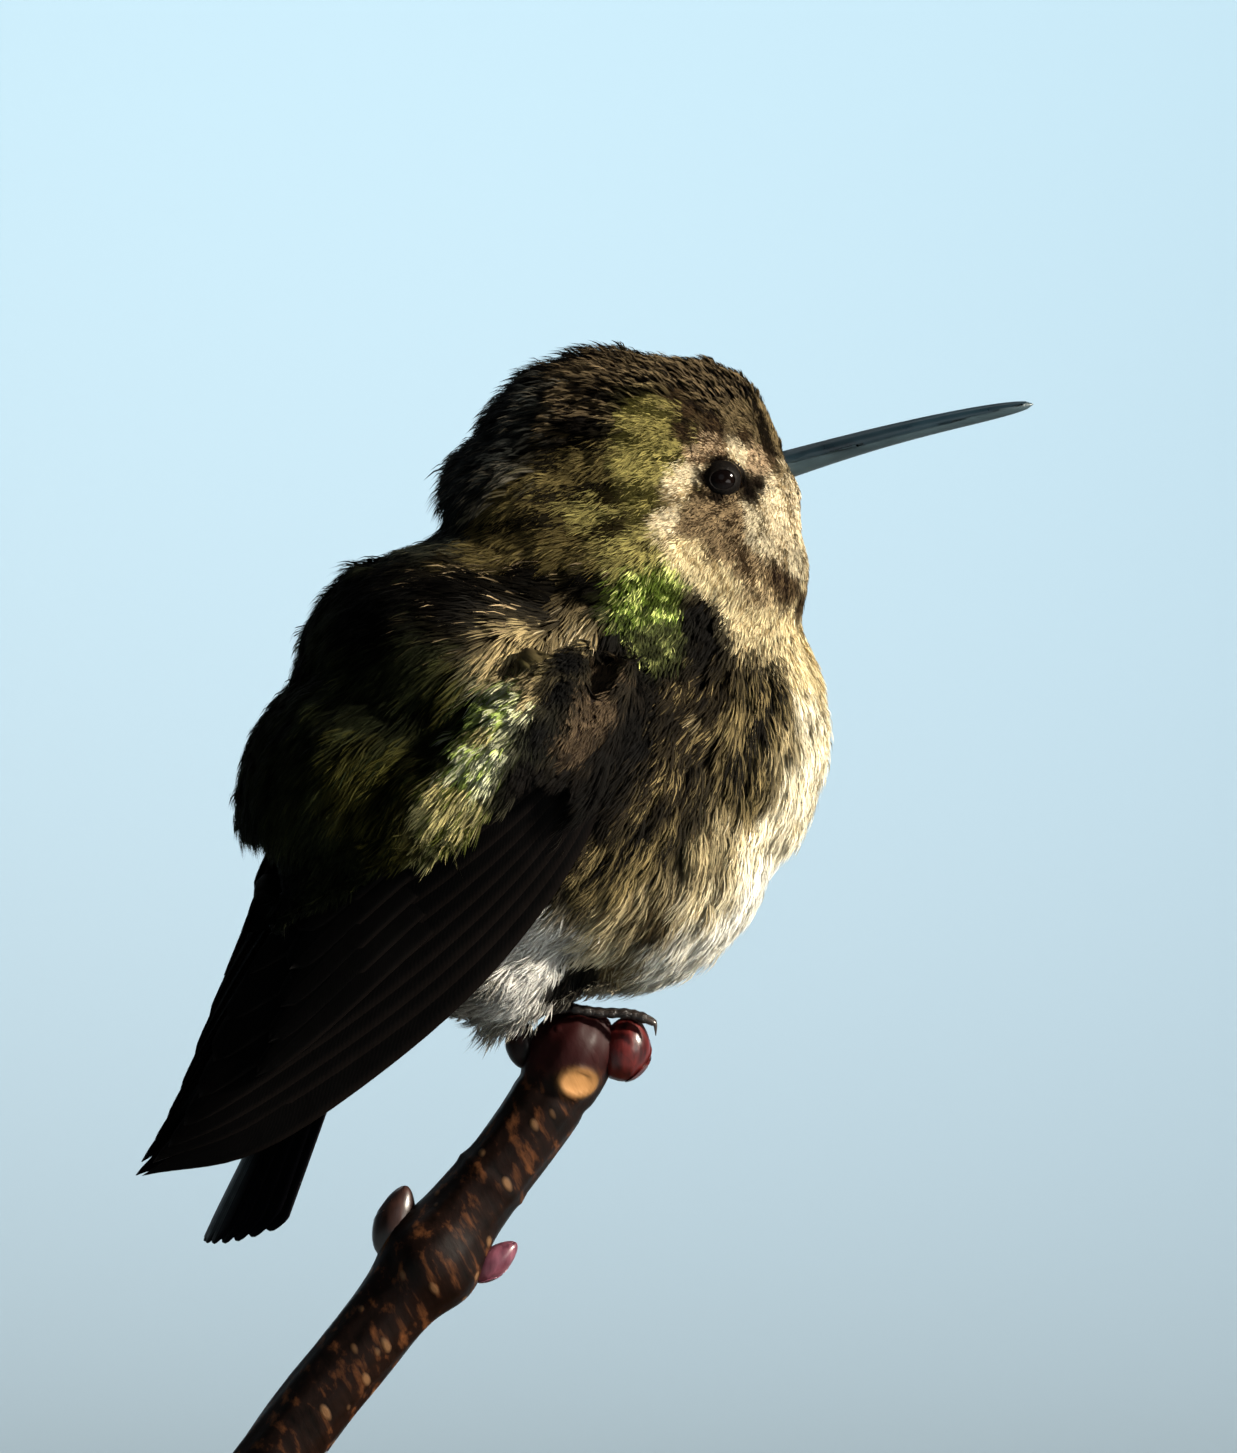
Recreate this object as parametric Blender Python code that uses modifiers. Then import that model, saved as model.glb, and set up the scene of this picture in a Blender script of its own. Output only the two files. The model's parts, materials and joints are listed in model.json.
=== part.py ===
"""A life-size museum model of a fluffed-up hummingbird, gripping the cut end of a budding twig.

Metres, +Z up. The trunk faces +X with its plane of symmetry at y = 0, and the origin is the centre of the
stand's underside. The head and the twig lie in a second upright plane, turned to the bird's right.
Sizes and places are written in millimetres and scaled by MM.
"""

import math

import bmesh
import bpy
from mathutils import Matrix, Vector
from mathutils.bvhtree import BVHTree

MM = 0.001
GAP = 0.3  # clear space between neighbouring solids
TURN = math.radians(-22)  # from the trunk's plane to the plane of head and twig

# Rounded masses that fuse into one body: centre, radii and nose-up pitch in degrees.
# Those of the head are given in the turned plane, those of the trunk in the trunk's own.
HEAD_MASSES = {
    "crown": ((4.7, 0, 88.2), (10.8, 8.6, 8.7), -12),
    "forehead": ((10.3, 0, 90.5), (6.5, 5.4, 5.9), -30),
    "lores": ((13.9, 0, 86.6), (4.9, 4.0, 3.8), 0),
    "cheek": ((9.0, 0, 83.6), (9.0, 8.6, 6.6), 0),
    "throat": ((12.6, 0, 80.4), (6.6, 7.2, 6.6), 0),
    "nape": ((-1.5, 0, 84.6), (7.8, 8.8, 7.6), 30),
    "ruff": ((2.6, 0, 79.4), (13.2, 11.6, 7.0), 18),
}
TRUNK_MASSES = {
    "breast": ((8.1, 0, 68.2), (13.2, 13.8, 14.2), 0),
    "belly": ((4.2, 0, 61.5), (13.0, 14.0, 13.5), 0),
    "sides": ((-2.0, 0, 65.0), (15.0, 16.6, 15.5), 0),
    "mantle": ((-8.1, 0, 70.8), (13.2, 13.2, 11.5), -38),
    "back": ((-12.0, 0, 62.4), (13.7, 12.6, 13.8), 0),
    "rump": ((-17.2, 0, 53.8), (9.8, 8.2, 6.6), 64),
    "vent": ((-4.6, 0, 52.4), (8.6, 7.4, 6.8), 0),
}
BODY_VOXEL = 0.8
BODY_SMOOTHING = 24
BODY_KEPT = 0.052  # share of the fused body's faces that stays

# Planes that part the body, each by its height on the axis and its forward tilt in degrees.
NECK_TOP = (83.2, -4)
NECK_BASE = (78.9, -10)
VENT_TOP = (51.5, 35)

EYE_AT = (12.0, 87.0)  # along the head and up
EYE_RADIUS = 1.65
EYE_PROUD = 0.7  # how far the ball stands out of the face

BILL_ROOT = (15.6, 87.8)
BILL_TIP = (35.6, 92.85)
BILL_RADIUS = 1.15
BILL_RISE = 0.35  # how far the middle stands above a straight line
BILL_SEAM = 0.06  # half the slit between the two halves

# The right wing's two edges, from the wrist to the tip.
LEADING_EDGE = (
    (1.2, -13.0, 73.0),
    (-1.6, -15.6, 66.5),
    (-4.9, -15.2, 58.5),
    (-11.0, -12.0, 49.6),
    (-19.0, -8.3, 42.0),
    (-26.6, -4.8, 36.7),
    (-33.8, -1.0, 35.2),
)
TRAILING_EDGE = (
    (-4.6, -11.4, 76.0),
    (-9.8, -12.5, 71.0),
    (-16.5, -9.8, 64.5),
    (-22.4, -4.0, 56.6),
    (-26.9, -1.5, 48.6),
    (-30.7, -0.9, 41.4),
    (-34.0, -0.8, 35.7),
)
CAMBER = 1.9
PRIMARY_THICKNESS = 0.9
SECONDARY_THICKNESS = 0.7
PRIMARY_COUNT = 10
SCAPULAR_REACH = 0.56  # share of the wing's length under the back's feathers
WING_ROOM = 5.6  # depth cut from the body for the folded wing, all but 1 mm of it outwards

TAIL_ROOT = (-16.2, 0, 52.6)
TAIL_SLOPE = math.radians(63)  # below level, pointing back
TAIL_LENGTH = 25.4
TAIL_HALF_ROOT = 3.6
TAIL_SPREAD = math.radians(8.5)
TAIL_ARCH = 1.6
TAIL_THICKNESS = 0.9
TAIL_FEATHERS = 10

# The twig's centre line in the turned plane, from the cut end up: along, up and radius.
TWIG_LINE = (
    (-22.6, 11.8, 2.85),
    (-18.1, 18.0, 2.85),
    (-12.4, 25.2, 2.95),
    (-9.7, 28.5, 3.9),
    (-7.3, 31.8, 3.05),
    (-4.2, 35.8, 2.75),
    (-1.5, 39.6, 2.8),
    (0.2, 42.5, 3.1),
    (1.1, 44.7, 3.2),
    (1.6, 46.6, 2.2),
)
# Buds: place along and up the turned plane, half width, half length and lean from upright in degrees.
BUDS = {
    "perch_bud_end": ((4.85, 44.5), 1.75, 2.5, 14),
    "perch_bud_back": ((-2.9, 44.9), 1.3, 2.1, -12),
    "perch_bud_left": ((-12.4, 31.4), 1.6, 2.9, 18),
    "perch_bud_right": ((-4.9, 28.4), 1.2, 2.2, 50),
}

TOE_RADIUS = 0.38
FOOT_SIDE = 1.75  # from the plane of the twig to the middle of a foot
TOE_SPACING = 0.95
FRONT_TOE = ((0.9, 48.1), (3.0, 48.4), (5.2, 47.9), (6.2, 47.2))
HIND_TOE = ((0.9, 48.1), (-0.9, 48.2), (-2.5, 47.6))
SHANK = ((0.8, 49.0), (0.2, 51.0), (-0.3, 53.2))
SHANK_RADIUS = 0.45
FRONT_CLAW = ((6.55, 46.8), (7.1, 46.2), (7.2, 45.4))
HIND_CLAW = ((-3.05, 47.25), (-3.65, 46.7), (-3.8, 45.9))
CLAW_RADIUS = 0.3
FOOT_ROOM = ((1.7, 46.2), (6.7, 4.7, 3.4))  # hollow left in the belly around the feet

BASE_RADIUS = 30.0
BASE_HEIGHT = 6.0
ROD_RADIUS = 1.1
ROD_ALONG = -18.6
ROD_TOP = 17.4

COLOURS = {  # base colour, roughness, metallic
    "plumage_green": ((0.12, 0.14, 0.05), 0.6, 0.2),
    "plumage_pale": ((0.55, 0.48, 0.34), 0.8, 0.0),
    "flight_feather": ((0.035, 0.028, 0.032), 0.45, 0.0),
    "eye": ((0.012, 0.008, 0.006), 0.06, 0.0),
    "bill": ((0.03, 0.035, 0.04), 0.35, 0.0),
    "foot": ((0.05, 0.04, 0.038), 0.55, 0.0),
    "bark": ((0.2, 0.09, 0.05), 0.6, 0.0),
    "bud": ((0.16, 0.03, 0.03), 0.35, 0.0),
    "stand_wood": ((0.09, 0.045, 0.025), 0.4, 0.0),
    "stand_metal": ((0.55, 0.55, 0.55), 0.3, 1.0),
}


def place(along, side, up):
    """A point of the trunk's own frame, in metres."""
    return Vector((along, side, up)) * MM


def turned(along, side, up):
    """A point of the turned plane's frame, in metres."""
    return Matrix.Rotation(TURN, 3, "Z") @ place(along, side, up)


def through(points, t):
    """The point at share t, 0 to 1, of a smooth curve through points (Catmull-Rom)."""
    spans = len(points) - 1
    i = min(int(t * spans), spans - 1)
    f = t * spans - i
    p1, p2 = Vector(points[i]), Vector(points[i + 1])
    p0 = Vector(points[i - 1]) if i > 0 else 2 * p1 - p2
    p3 = Vector(points[i + 2]) if i + 2 <= spans else 2 * p2 - p1
    return 0.5 * (
        2 * p1
        + (p2 - p0) * f
        + (2 * p0 - 5 * p1 + 4 * p2 - p3) * f**2
        + (3 * p1 - p0 - 3 * p2 + p3) * f**3
    )


def clear_scene():
    for obj in list(bpy.data.objects):
        bpy.data.objects.remove(obj)


def new_collection(name):
    made = bpy.data.collections.new(name)
    bpy.context.scene.collection.children.link(made)
    return made


def make_materials():
    made = {}
    for name, (colour, roughness, metallic) in COLOURS.items():
        material = bpy.data.materials.new(name)
        material.use_nodes = True
        shader = material.node_tree.nodes["Principled BSDF"]
        shader.inputs["Base Color"].default_value = (*colour, 1)
        shader.inputs["Roughness"].default_value = roughness
        shader.inputs["Metallic"].default_value = metallic
        material.diffuse_color = (*colour, 1)
        made[name] = material
    return made


def add_part(name, mesh, material):
    """A visible, smooth-shaded object with one material."""
    obj = bpy.data.objects.new(name, mesh)
    parts.objects.link(obj)
    mesh.materials.clear()
    mesh.materials.append(materials[material])
    mesh.shade_smooth()
    mesh.set_sharp_from_angle(angle=math.radians(40))
    return obj


def add_cutter(name, mesh):
    obj = bpy.data.objects.new(name, mesh)
    cutters.objects.link(obj)
    obj.hide_render = True
    obj.display_type = "WIRE"
    return obj


def cut(obj, cutter):
    modifier = obj.modifiers.new("cut_" + cutter.name, "BOOLEAN")
    modifier.operation = "DIFFERENCE"
    modifier.solver = "EXACT"
    modifier.object = cutter


def mesh_from(bm, name):
    """The closed mesh with its faces pointing outwards."""
    mesh = bpy.data.meshes.new(name)
    bmesh.ops.recalc_face_normals(bm, faces=bm.faces)
    if bm.calc_volume(signed=True) < 0:
        bmesh.ops.reverse_faces(bm, faces=bm.faces)
    bm.to_mesh(mesh)
    bm.free()
    return mesh


def evaluated_mesh(obj):
    """The object's mesh with its modifiers applied, in world space. The object is removed."""
    bpy.context.view_layer.update()
    graph = bpy.context.evaluated_depsgraph_get()
    mesh = bpy.data.meshes.new_from_object(obj.evaluated_get(graph))
    mesh.transform(obj.matrix_world)
    bpy.data.objects.remove(obj)
    return mesh


def ellipsoid(name, frame, centre, radii, pitch=0.0, grow=0.0, detail=3):
    """An ellipsoid from a unit ico sphere. frame is place or turned."""
    spin = TURN if frame is turned else 0.0
    size = [(r + grow) * MM for r in radii]
    matrix = (
        Matrix.Translation(frame(*centre))
        @ Matrix.Rotation(spin, 4, "Z")
        @ Matrix.Rotation(math.radians(-pitch), 4, "Y")
        @ Matrix.Diagonal((*size, 1))
    )
    bm = bmesh.new()
    bmesh.ops.create_icosphere(bm, subdivisions=detail, radius=1, matrix=matrix)
    return mesh_from(bm, name)


def fused(name, meshes, voxel, smoothing, kept):
    """Overlapping closed meshes as one smooth skin, through voxels, with a share of its faces kept."""
    bm = bmesh.new()
    for mesh in meshes:
        bm.from_mesh(mesh)
        bpy.data.meshes.remove(mesh)
    obj = add_cutter(name, mesh_from(bm, name))
    remesh = obj.modifiers.new("fuse", "REMESH")
    remesh.mode = "VOXEL"
    remesh.voxel_size = voxel * MM
    smooth = obj.modifiers.new("smooth", "SMOOTH")
    smooth.factor = 0.5
    smooth.iterations = smoothing
    decimate = obj.modifiers.new("thin", "DECIMATE")
    decimate.ratio = kept
    return evaluated_mesh(obj)


def tube(name, points, radii, sides=8):
    """A closed tube along points in metres, as a mesh. radii are in millimetres."""
    curve = bpy.data.curves.new(name, "CURVE")
    curve.dimensions = "3D"
    curve.bevel_depth = MM
    curve.bevel_resolution = sides // 2 - 2
    curve.use_fill_caps = True
    spline = curve.splines.new("POLY")
    spline.points.add(len(points) - 1)
    for spot, point, radius in zip(spline.points, points, radii):
        spot.co = (*point, 1)
        spot.radius = radius
    obj = bpy.data.objects.new(name, curve)
    cutters.objects.link(obj)
    mesh = evaluated_mesh(obj)
    bm = bmesh.new()
    bm.from_mesh(mesh)
    bmesh.ops.remove_doubles(bm, verts=bm.verts, dist=0.005 * MM)
    bpy.data.meshes.remove(mesh)
    return mesh_from(bm, name)


def sheet(name, surface, columns, rows, thickness):
    """A closed shell along surface(u, v), u and v from 0 to 1, from a grid with Solidify."""
    bm = bmesh.new()
    bmesh.ops.create_grid(bm, x_segments=columns, y_segments=rows, size=0.5)
    for vert in bm.verts:
        vert.co = surface(vert.co.x + 0.5, vert.co.y + 0.5)
    obj = add_cutter(name, mesh_from(bm, name))
    shell = obj.modifiers.new("shell", "SOLIDIFY")
    shell.thickness = thickness * MM
    shell.offset = 0
    shell.use_even_offset = False
    mesh = evaluated_mesh(obj)
    bm = bmesh.new()
    bm.from_mesh(mesh)
    bpy.data.meshes.remove(mesh)
    return mesh_from(bm, name)


def mirrored(mesh, name):
    """A copy of a mesh on the other side of the trunk's plane."""
    bm = bmesh.new()
    bm.from_mesh(mesh)
    bmesh.ops.scale(bm, vec=(1, -1, 1), verts=bm.verts)
    return mesh_from(bm, name)


# --- body -----------------------------------------------------------------------------------------


def slice_of(body, name, above=None, below=None):
    """The part of the body above and below planes, each (height, tilt), with half a gap kept clear."""
    bm = bmesh.new()
    bm.from_mesh(body)
    for plane, sense in ((above, -1), (below, 1)):
        if plane is None:
            continue
        height, tilt = plane
        normal = Vector((-math.sin(math.radians(tilt)), 0, math.cos(math.radians(tilt)))) * sense
        point = place(0, 0, height) - normal * GAP / 2 * MM
        everything = bm.verts[:] + bm.edges[:] + bm.faces[:]
        bmesh.ops.bisect_plane(bm, geom=everything, plane_co=point, plane_no=normal, clear_outer=True)
        rim = [edge for edge in bm.edges if edge.is_boundary]
        lid = bmesh.ops.triangle_fill(bm, use_beauty=True, edges=rim)
        bmesh.ops.recalc_face_normals(bm, faces=bm.faces)
        del lid
    return mesh_from(bm, name)


def make_body():
    """Head, neck, trunk and vent, parted from one fused skin. Returns the objects and the whole skin."""
    masses = [ellipsoid(n, turned, *m) for n, m in HEAD_MASSES.items()]
    masses += [ellipsoid(n, place, *m) for n, m in TRUNK_MASSES.items()]
    skin = fused("body", masses, BODY_VOXEL, BODY_SMOOTHING, BODY_KEPT)
    made = {
        "head": add_part("head", slice_of(skin, "head", above=NECK_TOP), "plumage_green"),
        "neck": add_part("neck", slice_of(skin, "neck", NECK_BASE, NECK_TOP), "plumage_green"),
        "trunk": add_part("trunk", slice_of(skin, "trunk", VENT_TOP, NECK_BASE), "plumage_pale"),
        "vent": add_part("vent", slice_of(skin, "vent", below=VENT_TOP), "plumage_pale"),
    }
    return made, skin


def make_eyes(body, skin):
    """A ball in a socket on each side, set from the skin's own surface."""
    tree = BVHTree.FromPolygons([v.co for v in skin.vertices], [p.vertices for p in skin.polygons])
    along, up = EYE_AT
    for name, side in (("eye_right", -1), ("eye_left", 1)):
        outward = turned(0, side, 0).normalized()
        surface = tree.ray_cast(turned(along, side * 20, up), -outward)[0]
        depth = (surface - turned(along, 0, up)).length / MM + EYE_PROUD - EYE_RADIUS
        centre = (along, side * depth, up)
        radii = (EYE_RADIUS,) * 3
        add_part(name, ellipsoid(name, turned, centre, radii, detail=2), "eye")
        socket = add_cutter("socket_" + name, ellipsoid(name, turned, centre, radii, grow=GAP))
        cut(body["head"], socket)


# --- bill -----------------------------------------------------------------------------------------


def bill_line(grow=0.0, steps=12):
    """Points and radii from the root to the tip: a long taper, bowed a little, that ends in a point."""
    points, radii = [], []
    for i in range(steps + 1):
        t = i / steps
        along = BILL_ROOT[0] + (BILL_TIP[0] - BILL_ROOT[0]) * t
        up = BILL_ROOT[1] + (BILL_TIP[1] - BILL_ROOT[1]) * t + BILL_RISE * math.sin(math.pi * t)
        points.append(turned(along, 0, up))
        radii.append(BILL_RADIUS * (1 - 0.9 * t + 0.5 * t**2) * math.sqrt(1 - t**7) + 0.04 + grow)
    return points, radii


def make_bill(body):
    slope = math.atan2(BILL_TIP[1] - BILL_ROOT[1], BILL_TIP[0] - BILL_ROOT[0])
    upward = turned(-math.sin(slope), 0, math.cos(slope)).normalized()
    whole = tube("bill", *bill_line(), sides=12)
    middle = turned(BILL_ROOT[0], 0, BILL_ROOT[1] + BILL_RISE * 0.6)
    for name, sense in (("bill_upper", 1), ("bill_lower", -1)):
        bm = bmesh.new()
        bm.from_mesh(whole)
        normal = upward * sense
        everything = bm.verts[:] + bm.edges[:] + bm.faces[:]
        bmesh.ops.bisect_plane(
            bm,
            geom=everything,
            plane_co=middle + normal * BILL_SEAM * MM,
            plane_no=normal,
            clear_inner=True,
        )
        bmesh.ops.triangle_fill(bm, use_beauty=True, edges=[e for e in bm.edges if e.is_boundary])
        add_part(name, mesh_from(bm, name), "bill")
    cut(body["head"], add_cutter("bill_socket", tube("bill_socket", *bill_line(GAP), sides=12)))


# --- wings ----------------------------------------------------------------------------------------


def wing_point(s, w, lift):
    """The right wing's surface: s from wrist to tip, w from leading to trailing edge, lift outwards."""
    front, rear = through(LEADING_EDGE, s), through(TRAILING_EDGE, s)
    chord = rear - front
    length = through(LEADING_EDGE, min(s + 0.02, 1)) - through(LEADING_EDGE, min(s, 0.98))
    outward = chord.cross(length).normalized()
    if outward.y > 0:
        outward.negate()
    bulge = CAMBER * math.sin(math.pi * w) * math.sqrt(max(1 - s, 0)) * min(0.3 + 3 * max(s, 0), 1)
    return (front + chord * w + outward * (bulge + lift)) * MM


def primaries(u, v):
    """The long blade of ten stacked feathers, whose tips step along the trailing edge."""
    s = 0.3 + 0.7 * u
    step = 0.05 * abs(math.sin(math.pi * PRIMARY_COUNT * u)) * (1 - u)
    return wing_point(s, v * (1 - step), 0)


def scapular_edge(s):
    """Where the back's feathers end on the blade, as a share of its width."""
    return 0.3 + 0.6 * max(min((s - 0.02) / SCAPULAR_REACH, 1), 0) ** 1.5


def secondaries(u, v):
    """The short inner feathers that come out from under the back's."""
    s = 0.44 + (0.3 - 0.08 * (1 - v)) * u
    return wing_point(s, 0.22 + (min(scapular_edge(s) - 0.08, 0.94) - 0.22) * v, 1.2)


def shoulder(u, v):
    """The small covert feathers from the wrist back."""
    s = 0.4 * u
    return wing_point(s, 0.04 + (scapular_edge(s) - 0.12) * v, 1.4)


def scapulars():
    """The back's feathers that lie over the upper edge of the right wing: a pad, thickest in the middle."""
    bm = bmesh.new()
    bmesh.ops.create_icosphere(bm, subdivisions=3, radius=1)
    for vert in bm.verts:
        x, y, z = vert.co
        s = 0.02 + SCAPULAR_REACH * (x + 1) / 2
        edge = scapular_edge(s)
        vert.co = wing_point(s, edge + (1.03 - edge) * (y + 1) / 2, 1.8 + 0.95 * z)
    return mesh_from(bm, "scapulars")


def add_pair(layer, right, material):
    add_part("wing_left_" + layer, mirrored(right, layer), material)
    add_part("wing_right_" + layer, right, material)


def make_wings(body):
    layers = {
        "primaries": (primaries, 20, 4, PRIMARY_THICKNESS, "flight_feather"),
        "secondaries": (secondaries, 8, 4, SECONDARY_THICKNESS, "flight_feather"),
        "shoulder": (shoulder, 6, 4, 1.1, "plumage_green"),
    }
    for layer, (surface, columns, rows, thickness, material) in layers.items():
        right = sheet(layer, surface, columns, rows, thickness)
        add_pair(layer, right, material)
    add_pair("scapulars", scapulars(), "plumage_green")

    def room(u, v):
        """The whole folded wing with clear space round it."""
        return wing_point(1.04 * u - 0.03, 1.1 * v - 0.05, WING_ROOM / 2 - 1)

    right = sheet("wing_room_right", room, 16, 5, WING_ROOM)
    for mesh in (right, mirrored(right, "wing_room_left")):
        cutter = add_cutter(mesh.name, mesh)
        for name in ("trunk", "vent", "neck"):
            cut(body[name], cutter)


# --- tail -----------------------------------------------------------------------------------------


def tail_point(u, v):
    """The fanned tail: u across from right to left, v from root to tip, arched along its middle."""
    across = 2 * u - 1
    notch = 0.035 * abs(math.sin(math.pi * TAIL_FEATHERS * u))
    reach = TAIL_LENGTH * (1 - 0.1 * across**2 - notch) * v
    angle = TAIL_SPREAD * across
    side = TAIL_HALF_ROOT * across + reach * math.sin(angle)
    run = reach * math.cos(angle)
    droop = TAIL_ARCH * across**2 * (0.35 + 0.65 * v)
    along = TAIL_ROOT[0] - run * math.cos(TAIL_SLOPE) + droop * math.sin(TAIL_SLOPE)
    up = TAIL_ROOT[2] - run * math.sin(TAIL_SLOPE) - droop * math.cos(TAIL_SLOPE)
    return place(along, side, up)


def tail_room(u, v):
    """The tail's surface carried on past its edges."""
    return tail_point(1.1 * u - 0.05, 1.1 * v - 0.05)


def make_tail(body):
    add_part("tail", sheet("tail", tail_point, 20, 5, TAIL_THICKNESS), "flight_feather")
    room = add_cutter(
        "tail_room",
        sheet("tail_room", tail_room, 12, 5, TAIL_THICKNESS + 2 * GAP),
    )
    for name in ("trunk", "vent"):
        cut(body[name], room)


# --- feet, twig and stand -------------------------------------------------------------------------


def smooth_line(points, side, steps):
    """Points in metres along a curve through (along, up) pairs, at one side of the turned plane."""
    flat = [through([(a, side, u) for a, u in points], i / steps) for i in range(steps + 1)]
    return [turned(*p) for p in flat]


def add_claw(name, line, side):
    points = smooth_line(line, side, 3)
    radii = [CLAW_RADIUS * (1 - 0.25 * k) for k in range(4)]
    add_part(name, tube("claw", points, radii, sides=6), "foot")


def make_foot(name, middle):
    """Three toes forward and one back, spread from one joint, with their claws."""
    toes = []
    for i, offset in enumerate((-TOE_SPACING, 0, TOE_SPACING)):
        line = smooth_line(FRONT_TOE, middle + offset, 5)
        line[0] = turned(FRONT_TOE[0][0], middle, FRONT_TOE[0][1])
        toes.append(tube("toe", line, [TOE_RADIUS] * len(line)))
        add_claw(f"claw_{name}_{i + 1}", FRONT_CLAW, middle + offset)
    line = smooth_line(HIND_TOE, middle, 4)
    toes.append(tube("toe", line, [TOE_RADIUS] * len(line)))
    add_claw(f"claw_{name}_4", HIND_CLAW, middle)
    add_part("foot_" + name, fused("foot", toes, 0.2, 2, 0.11), "foot")


def make_legs(body):
    """A foot and a shank on each side, the shanks in bores, over a hollow that clears the feet."""
    for name, sense in (("right", -1), ("left", 1)):
        make_foot(name, FOOT_SIDE * sense)
        line = smooth_line(SHANK, FOOT_SIDE * sense, 3)
        add_part("leg_" + name, tube("leg", line, [SHANK_RADIUS] * 4), "foot")
        bore = tube("bore", [*line, line[-1] + place(0, 0, GAP)], [SHANK_RADIUS + GAP] * 5)
        cutter = add_cutter("leg_room_" + name, bore)
        for part in ("trunk", "vent"):
            cut(body[part], cutter)
    (along, up), radii = FOOT_ROOM
    hollow = add_cutter("foot_room", ellipsoid("foot_room", turned, (along, 0, up), radii))
    for part in ("trunk", "vent"):
        cut(body[part], hollow)


def twig_line(grow=0.0, steps=16):
    flat = [through(TWIG_LINE, i / steps) for i in range(steps + 1)]
    return [turned(a, 0, u) for a, u, _ in flat], [r + grow for _, _, r in flat]


def make_perch():
    twig = add_part("perch_twig", tube("perch_twig", *twig_line(), sides=12), "bark")
    room = add_cutter("twig_room", tube("twig_room", *twig_line(GAP), sides=12))
    for name, ((along, up), half_width, half_length, lean) in BUDS.items():
        mesh = ellipsoid(name, turned, (along, 0, up), (half_width, half_width, half_length), pitch=-lean, detail=2)
        cut(add_part(name, mesh, "bud"), room)
    hole = add_cutter("rod_hole", rod_mesh("rod_hole", GAP))
    cut(twig, hole)


def rod_mesh(name, grow=0.0):
    """An upright rod from the base up into the twig."""
    bottom = BASE_HEIGHT + GAP - grow
    height = ROD_TOP + grow - bottom
    bm = bmesh.new()
    bmesh.ops.create_cone(
        bm,
        cap_ends=True,
        segments=16,
        radius1=(ROD_RADIUS + grow) * MM,
        radius2=(ROD_RADIUS + grow) * MM,
        depth=height * MM,
        matrix=Matrix.Translation(turned(ROD_ALONG, 0, bottom + height / 2)),
    )
    return mesh_from(bm, name)


def make_stand():
    """A round base with a rounded top edge, and the rod."""
    bm = bmesh.new()
    bmesh.ops.create_cone(
        bm,
        cap_ends=True,
        segments=40,
        radius1=BASE_RADIUS * MM,
        radius2=BASE_RADIUS * MM,
        depth=BASE_HEIGHT * MM,
        matrix=Matrix.Translation(place(0, 0, BASE_HEIGHT / 2)),
    )
    base = add_part("stand_base", mesh_from(bm, "stand_base"), "stand_wood")
    rounding = base.modifiers.new("rounding", "BEVEL")
    rounding.width = 0.9 * MM
    rounding.segments = 2
    rounding.limit_method = "ANGLE"
    add_part("stand_rod", rod_mesh("stand_rod"), "stand_metal")


clear_scene()
parts = new_collection("hummingbird")
cutters = new_collection("cutters")
materials = make_materials()
body_parts, body_skin = make_body()
make_eyes(body_parts, body_skin)
make_bill(body_parts)
make_wings(body_parts)
make_tail(body_parts)
make_legs(body_parts)
make_perch()
make_stand()
bpy.data.meshes.remove(body_skin)
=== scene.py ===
# Hummingbird on a budding twig: skin and plumage, flight feathers, bare parts, perch and stand
import json
import math

import bmesh
import bpy
import numpy as np
from mathutils import Matrix, Vector
from mathutils.bvhtree import BVHTree
from mathutils.kdtree import KDTree

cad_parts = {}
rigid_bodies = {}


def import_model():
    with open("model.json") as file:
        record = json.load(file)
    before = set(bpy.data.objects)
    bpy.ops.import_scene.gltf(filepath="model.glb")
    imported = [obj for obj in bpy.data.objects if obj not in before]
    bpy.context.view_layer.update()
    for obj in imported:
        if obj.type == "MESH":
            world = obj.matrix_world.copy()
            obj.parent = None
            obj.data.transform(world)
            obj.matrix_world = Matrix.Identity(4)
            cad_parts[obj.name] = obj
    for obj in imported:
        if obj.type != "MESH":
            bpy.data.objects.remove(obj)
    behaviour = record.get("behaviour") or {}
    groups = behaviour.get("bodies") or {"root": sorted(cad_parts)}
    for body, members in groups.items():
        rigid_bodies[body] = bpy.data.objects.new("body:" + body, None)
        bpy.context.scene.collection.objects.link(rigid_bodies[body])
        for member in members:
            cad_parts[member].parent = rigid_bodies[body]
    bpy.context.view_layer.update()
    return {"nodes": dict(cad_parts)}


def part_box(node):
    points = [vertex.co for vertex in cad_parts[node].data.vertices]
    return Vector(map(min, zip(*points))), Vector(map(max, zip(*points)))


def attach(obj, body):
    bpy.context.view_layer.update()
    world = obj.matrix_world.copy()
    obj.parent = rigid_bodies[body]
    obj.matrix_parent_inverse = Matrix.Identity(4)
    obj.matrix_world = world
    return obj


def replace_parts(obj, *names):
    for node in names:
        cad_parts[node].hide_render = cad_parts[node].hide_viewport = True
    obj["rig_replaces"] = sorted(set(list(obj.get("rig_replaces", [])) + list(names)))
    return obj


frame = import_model()
mm = 0.001
dice = np.random.default_rng(11)

turnAngle = math.radians(-22)  # from the trunk's plane to the plane of head and twig
alongAxis = np.array([math.cos(turnAngle), math.sin(turnAngle), 0.0])
sideAxis = np.array([-math.sin(turnAngle), math.cos(turnAngle), 0.0])
upAxis = np.array([0.0, 0.0, 1.0])


def turned(along, side, up):  # a point of the turned plane, in mm
    return alongAxis * along + sideAxis * side + upAxis * up


def paint(r, g, b):  # screen colour 0-255 to linear
    return tuple((c / 255 / 12.92) if c < 11 else ((c / 255 + 0.055) / 1.055) ** 2.4 for c in (r, g, b))


def unit(v):
    return v / np.maximum(np.linalg.norm(v, axis=-1, keepdims=True), 1e-9)


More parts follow.
